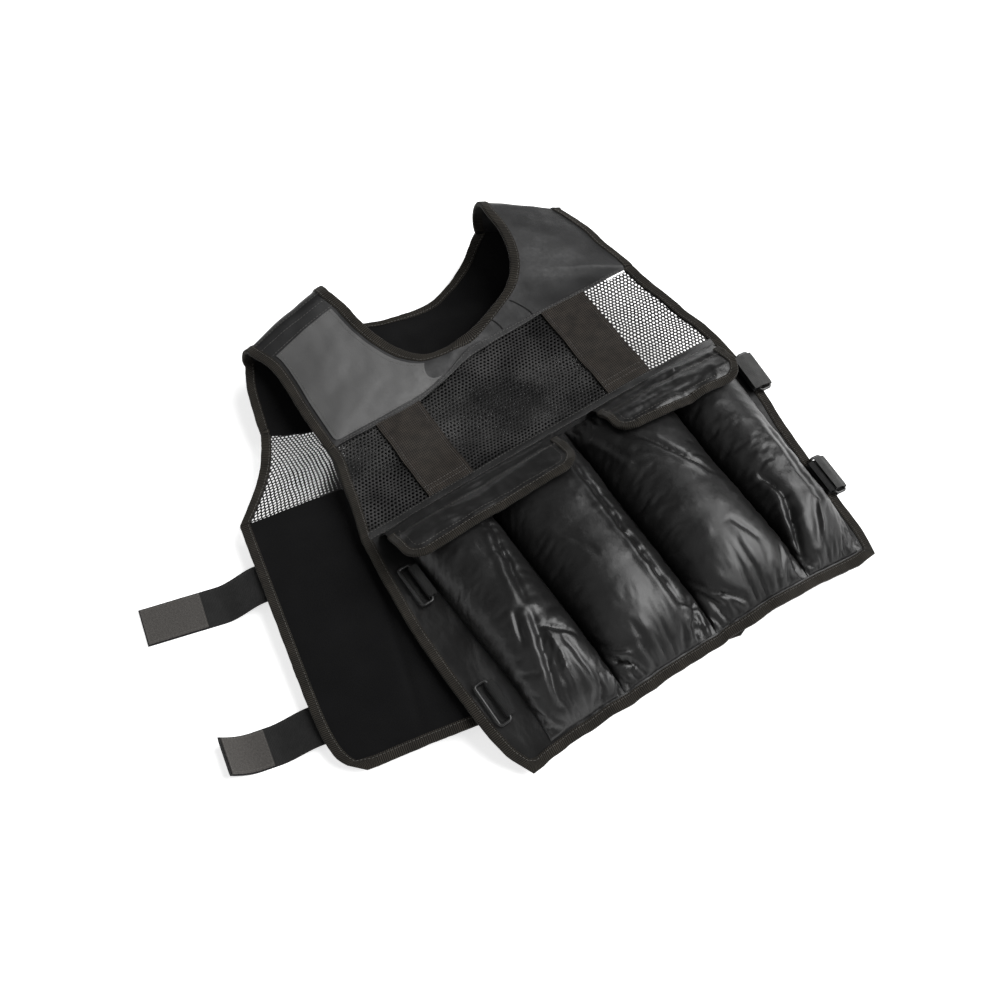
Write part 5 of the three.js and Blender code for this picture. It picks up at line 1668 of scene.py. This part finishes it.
# Weight pockets under the back
def back_pocket(index):
    width = (2 * BACK_HALF_WIDTH - 2 * BACK_POCKET_MARGIN) / 4
    left = -BACK_HALF_WIDTH + BACK_POCKET_MARGIN + index * width + POCKET_SPACE / 2
    across, up = shares_over(0, 34, 72)
    x = left + (width - POCKET_SPACE) * across + 0 * up
    y = BACK_POCKET_HEM_MARGIN + up * BACK_POCKET_LENGTH + 0 * across
    top = back_at(x, y)
    top[..., 2] -= CLOTH / 2 + 0.4
    round_off = crown(across) * crown(up)
    full = np.minimum(BACK_POCKET_FLATNESS * round_off, 1)
    wrinkle = pocket_wrinkles(index + 5, across, up, width) * (1 - full**3)
    bottom = top.copy()
    bottom[..., 2] = np.maximum((top[..., 2] - 1.2) * (1 - full) - wrinkle * (full < 0.995), 0)
    bottom[..., 2] = np.minimum(bottom[..., 2], top[..., 2] - 1.0)
    name = f"pocket_back_{index + 1}_cloth"
    mesh = turned_out(two_sided(name, top, bottom))
    piece = add_piece(name, mesh, NYLON, "nylon", f"pocket_back_{index + 1}")


for index in range(4):
    back_pocket(index)


# Straps
def ribbon_mesh(name, line, across, width, thickness, offset=0.0, columns=13):
    """Webbing along a line of points, with the direction of its width at each point."""
    sides = fan(-0.5, 0.5, columns)
    grid = line[:, None] + across[:, None] * sides[None, :, None] * width
    normals = normals_of(grid)
    rounding = np.ones(columns)
    rounding[[0, -1]] = 0.5
    top = grid + normals * (offset + thickness / 2 * rounding[None, :, None])
    bottom = grid + normals * (offset - thickness / 2 * rounding[None, :, None])
    return turned_out(two_sided(name, top, bottom)), grid, normals


STRAP_TUCK = 4
STRAP_DROP = CLOTH / 2 + 0.7 + TAPE + 0.6 + STRAP_THICKNESS / 2
STRAP_REST = STRAP_THICKNESS / 2 + 0.1
SIDE_STRAPS = {
    "side_strap_upper": {"up": 0.77, "turn": 15, "length": 118, "pad": 58, "curl": 0},
    "side_strap_lower": {"up": 0.206, "turn": 13, "length": 88, "pad": 40, "curl": 15},
}
STRAP_FALL = 42
CURL_LENGTH = 30
HOOK_PAD_THICKNESS = 1.4


def side_strap(name):
    facts = SIDE_STRAPS[name]
    root = back_place(-1.0, facts["up"])
    turn = math.radians(facts["turn"])
    direction = np.array([-math.cos(turn), math.sin(turn), 0])
    half = STRAP_WIDTH / 2 / BACK_PANEL_HEIGHT
    start = min(back_place(-1.0, facts["up"] + side)[2] for side in (-half, half)) - STRAP_DROP
    length = facts["length"]

    def line_at(distance):
        fall = np.clip(distance / STRAP_FALL, 0, 1)
        eased = 1 - fall * fall * (3 - 2 * fall)
        roll = np.maximum((distance - (length - CURL_LENGTH)) / CURL_LENGTH, 0)
        points = root[None] + direction[None] * distance[:, None]
        points[:, 2] = STRAP_REST + (start - STRAP_REST) * eased + facts["curl"] * roll * roll
        points[:, 2] += 0.5 * np.maximum(waves(distance / 22, facts["turn"], 71), 0) * fall
        return points

    distances = fan(-STRAP_TUCK, length, 60)
    line = line_at(distances)
    width_direction = np.cross([0, 0, 1.0], direction)
    across = np.repeat(width_direction[None], len(line), 0)
    mesh, grid, _ = ribbon_mesh(name + "_web", line, across, STRAP_WIDTH, STRAP_THICKNESS)
    piece = add_piece(name + "_web", mesh, STRAP, "strap_webbing", name)
    pad_distances = fan(length - 1 - facts["pad"], length - 1, 40)
    pad_line = line_at(pad_distances)
    offset = STRAP_THICKNESS / 2 + 0.15 + HOOK_PAD_THICKNESS / 2
    pad_mesh, pad_grid, pad_normals = ribbon_mesh(
        name + "_hook", pad_line, across[: len(pad_line)], STRAP_WIDTH - 2, HOOK_PAD_THICKNESS, offset, 20
    )
    add_piece(name + "_hook", pad_mesh, HOOK, "hook_pad", name + "_hook_pad")
    stitches_round(pad_grid, pad_normals, offset + HOOK_PAD_THICKNESS / 2 - WEBBING_SINK)


for name in SIDE_STRAPS:
    side_strap(name)
for name in YOKE_SEAMS:
    yoke_seam(name)

# Rings, their loops and the straps folded over the right rings
RING_BAR = RING_DEPTH / 2 - RING_WIRE / 2
BAR_GAP = RING_WIRE / math.sqrt(2) + 0.175 + LOOP_THICKNESS / 2
# Side, share of the panel's height, distance out from its edge and height over it
RINGS = {
    "ring_left_upper": (-1, 0.745, -23, 5.5),
    "ring_left_lower": (-1, 0.245, -20, 5.5),
    "ring_right_upper": (1, 0.82, 1, 7.6),
    "ring_right_lower": (1, 0.335, 3, 7.6),
}
LOOP_REACH = 6
LOOP_STEP = 1.5


def ring_frame(name):
    side, up, out, lift = RINGS[name]
    step = 0.02
    edge = panel_place(side, up)
    upward = unit(panel_place(side, up + step) - panel_place(side, up - step))
    outward = unit(edge - panel_place(side * 0.9, up))
    normal = unit(np.cross(outward, upward))
    normal = normal if normal[2] > 0 else -normal
    lengthwise = unit(np.cross(normal, outward))
    origin = edge + outward * out + normal * lift
    return origin, np.stack([outward, lengthwise, normal])


def in_frame(ring, points):
    origin, axes = ring
    return origin + np.asarray(points) @ axes


def ring_piece(name, ring):
    radius, corner = RING_WIRE / 2, RING_WIRE
    half_x, half_y = RING_DEPTH / 2 - radius, RING_LENGTH / 2 - radius
    path = []
    for east, north, start in ((1, 1, 0), (-1, 1, 90), (-1, -1, 180), (1, -1, 270)):
        cx, cy = east * (half_x - corner), north * (half_y - corner)
        for step in range(7):
            angle = math.radians(start + 15 * step)
            path.append((cx + corner * math.cos(angle), cy + corner * math.sin(angle), angle))
    sections = 12
    points = []
    for x, y, angle in path:
        out = np.array([math.cos(angle), math.sin(angle), 0])
        for k in range(sections):
            around = 2 * math.pi * k / sections
            point = np.array([x, y, 0]) + out * radius * math.cos(around)
            points.append(point + np.array([0, 0, radius * 0.92 * math.sin(around)]))
    count = len(path)
    faces = []
    for j in range(count):
        for k in range(sections):
            a = j * sections + k
            b = j * sections + (k + 1) % sections
            c = (j + 1) % count * sections + (k + 1) % sections
            d = (j + 1) % count * sections + k
            faces.append([a, d, c, b])
    mesh = turned_out(make_mesh(name + "_wire", in_frame(ring, points), faces, sharp=0))
    add_piece(name + "_wire", mesh, PLASTIC, "ring_plastic", name)


def bend_round(bar_x):
    angles = fan(-math.pi / 2, math.pi / 2, 14)
    return np.stack([bar_x + np.cos(angles) * BAR_GAP, 0 * angles, np.sin(angles) * BAR_GAP], -1)


def spaced(line):
    lengths = lengths_of(line)
    at = fan(0, lengths[-1], max(int(lengths[-1] / LOOP_STEP), 4))
    return at_lengths(line, lengths, at)


def loop_piece(name, ring):
    end = -RING_BAR - LOOP_REACH
    tail = [[end, 0, -BAR_GAP], [end + 3, 0, -BAR_GAP]]
    cover = [[end + 3, 0, BAR_GAP - 0.4], [end, 0, BAR_GAP - 1.6]]
    line = np.vstack([tail, bend_round(-RING_BAR), cover])
    line = in_frame(ring, spaced(line))
    across = np.repeat(ring[1][1][None], len(line), 0)
    loop = name.replace("ring", "loop")
    mesh = ribbon_mesh(loop + "_web", line, across, LOOP_WIDTH, LOOP_THICKNESS)[0]
    add_piece(loop + "_web", mesh, STRAP, "webbing", loop)


# Ring, share of the back panel's height, and how far the strap laps back over the ring
RIGHT_STRAPS = {
    "ring_strap_upper": ("ring_right_upper", 0.822, 20),
    "ring_strap_lower": ("ring_right_lower", 0.336, 12),
}
STRAP_OVER_LOOP = 2 * LOOP_THICKNESS + BAR_GAP
UNDER_PANEL = 7


def right_strap(name, rings):
    ring_name, up, reach = RIGHT_STRAPS[name]
    ring = rings[ring_name]
    over = [[RING_BAR - reach, 0, STRAP_OVER_LOOP], [RING_BAR - reach / 2, 0, STRAP_OVER_LOOP + 0.4]]
    low = -RINGS[ring_name][3] - UNDER_PANEL
    under = [[RING_BAR - 1, 0, low * 0.8], [RING_BAR - RING_DEPTH, 0, low - 1.5]]
    start = in_frame(ring, np.vstack([over, bend_round(RING_BAR)[::-1], under]))
    root = back_place(1.0, up)
    half = STRAP_WIDTH / 2 / BACK_PANEL_HEIGHT
    root[2] = min(back_place(1.0, up + side)[2] for side in (-half, half)) - STRAP_DROP
    inwards = back_turned(np.array([-1.0, 0, 0]))
    outside = root - inwards * EDGE_DEPTH
    middle = start[-1] * 0.5 + outside * 0.5
    line = np.vstack([start, middle, outside, root + inwards * STRAP_TUCK])
    turns = np.clip((np.arange(len(line)) - (len(line) - 4)) / 2, 0, 1)[:, None]
    back_wise = back_turned(np.array([0, 1.0, 0]))
    across = unit(ring[1][1][None] * (1 - turns) + back_wise[None] * turns)
    lengths = lengths_of(line)
    at = fan(0, lengths[-1], 80)
    fine = at_lengths(line, lengths, at)
    fine_across = unit(at_lengths(across, lengths, at))
    mesh = ribbon_mesh(name + "_web", fine, fine_across, STRAP_WIDTH - 2, LOOP_THICKNESS)[0]
    # This strap's lighter webbing is painted light.
    add_piece(name + "_web", mesh, RIGHT_STRAP_PAINTED_LIGHT, "strap_webbing", name)


rings = {name: ring_frame(name) for name in RINGS}
for name, ring in rings.items():
    ring_piece(name, ring)
    loop_piece(name, ring)
for name in RIGHT_STRAPS:
    right_strap(name, rings)

# Stitching
stitching = make_mesh("stitching", np.vstack(stitch_points), stitch_faces, sharp=0)
add_piece("stitching", stitching, THREAD, "binding_tape")


# Floor, light and camera
FLOOR_REACH = 60.0
FLOOR_GLOW = 0.68
SKY_LIGHT = 0.13
LENS = 72
FRAME_WIDTH = 36


def floor():
    mesh = bpy.data.meshes.new("floor")
    corners = [(x * FLOOR_REACH, y * FLOOR_REACH, 0) for x, y in ((-1, -1), (1, -1), (1, 1), (-1, 1))]
    mesh.from_pydata(corners, [], [(0, 1, 2, 3)])
    made = new_material("floor", (0.86, 0.86, 0.86), 0.6, Specular_IOR_Level=0.2)
    nodes = Nodes(made)
    source = nodes.new("ShaderNodeTexCoord")
    nodes.tint(nodes.noise(source.outputs["Object"], 3, 2), (0.85, 0.85, 0.85), (0.88, 0.88, 0.88))
    mesh.materials.append(made)
    nodes.shader.inputs["Emission Color"].default_value = (1, 1, 1, 1)
    nodes.shader.inputs["Emission Strength"].default_value = FLOOR_GLOW
    ground = bpy.data.objects.new("floor", mesh)
    bpy.context.scene.collection.objects.link(ground)


def soft_light(name, direction, spread, strength):
    """A soft box far off in the given direction, spread degrees wide."""
    data = bpy.data.lights.new(name, "SUN")
    data.angle = math.radians(spread)
    data.energy = strength
    lamp = bpy.data.objects.new(name, data)
    bpy.context.scene.collection.objects.link(lamp)
    lamp.location = Vector(direction).normalized() * 3
    lamp.rotation_euler = Vector(direction).to_track_quat("Z", "Y").to_euler()


VIEW_AZIMUTH = math.radians(-34)
VIEW_ELEVATION = math.radians(60)
VIEW_DISTANCE = 1.95
VIEW_AIM = np.array([-59.4, 256.2, 0])

floor()
soft_light("window", (0.6, -0.25, 0.8), 50, 4.4)
soft_light("left", (-0.7, -0.3, 0.75), 70, 0.38)
world = bpy.data.worlds.new("studio")
world.use_nodes = True
world.node_tree.nodes["Background"].inputs[0].default_value = (1, 1, 1, 1)
world.node_tree.nodes["Background"].inputs[1].default_value = SKY_LIGHT
bpy.context.scene.world = world
bpy.context.scene.view_settings.view_transform = "Standard"

camera_data = bpy.data.cameras.new("camera")
camera_data.lens = LENS
camera_data.sensor_width = FRAME_WIDTH
camera = bpy.data.objects.new("camera", camera_data)
bpy.context.scene.collection.objects.link(camera)
back_off = Vector(
    (
        math.sin(VIEW_AZIMUTH) * math.cos(VIEW_ELEVATION),
        -math.cos(VIEW_AZIMUTH) * math.cos(VIEW_ELEVATION),
        math.sin(VIEW_ELEVATION),
    )
)
camera.location = Vector((VIEW_AIM + SHIFT) * MM) + back_off * VIEW_DISTANCE
camera.rotation_euler = (-back_off).to_track_quat("-Z", "Y").to_euler()
bpy.context.scene.camera = camera
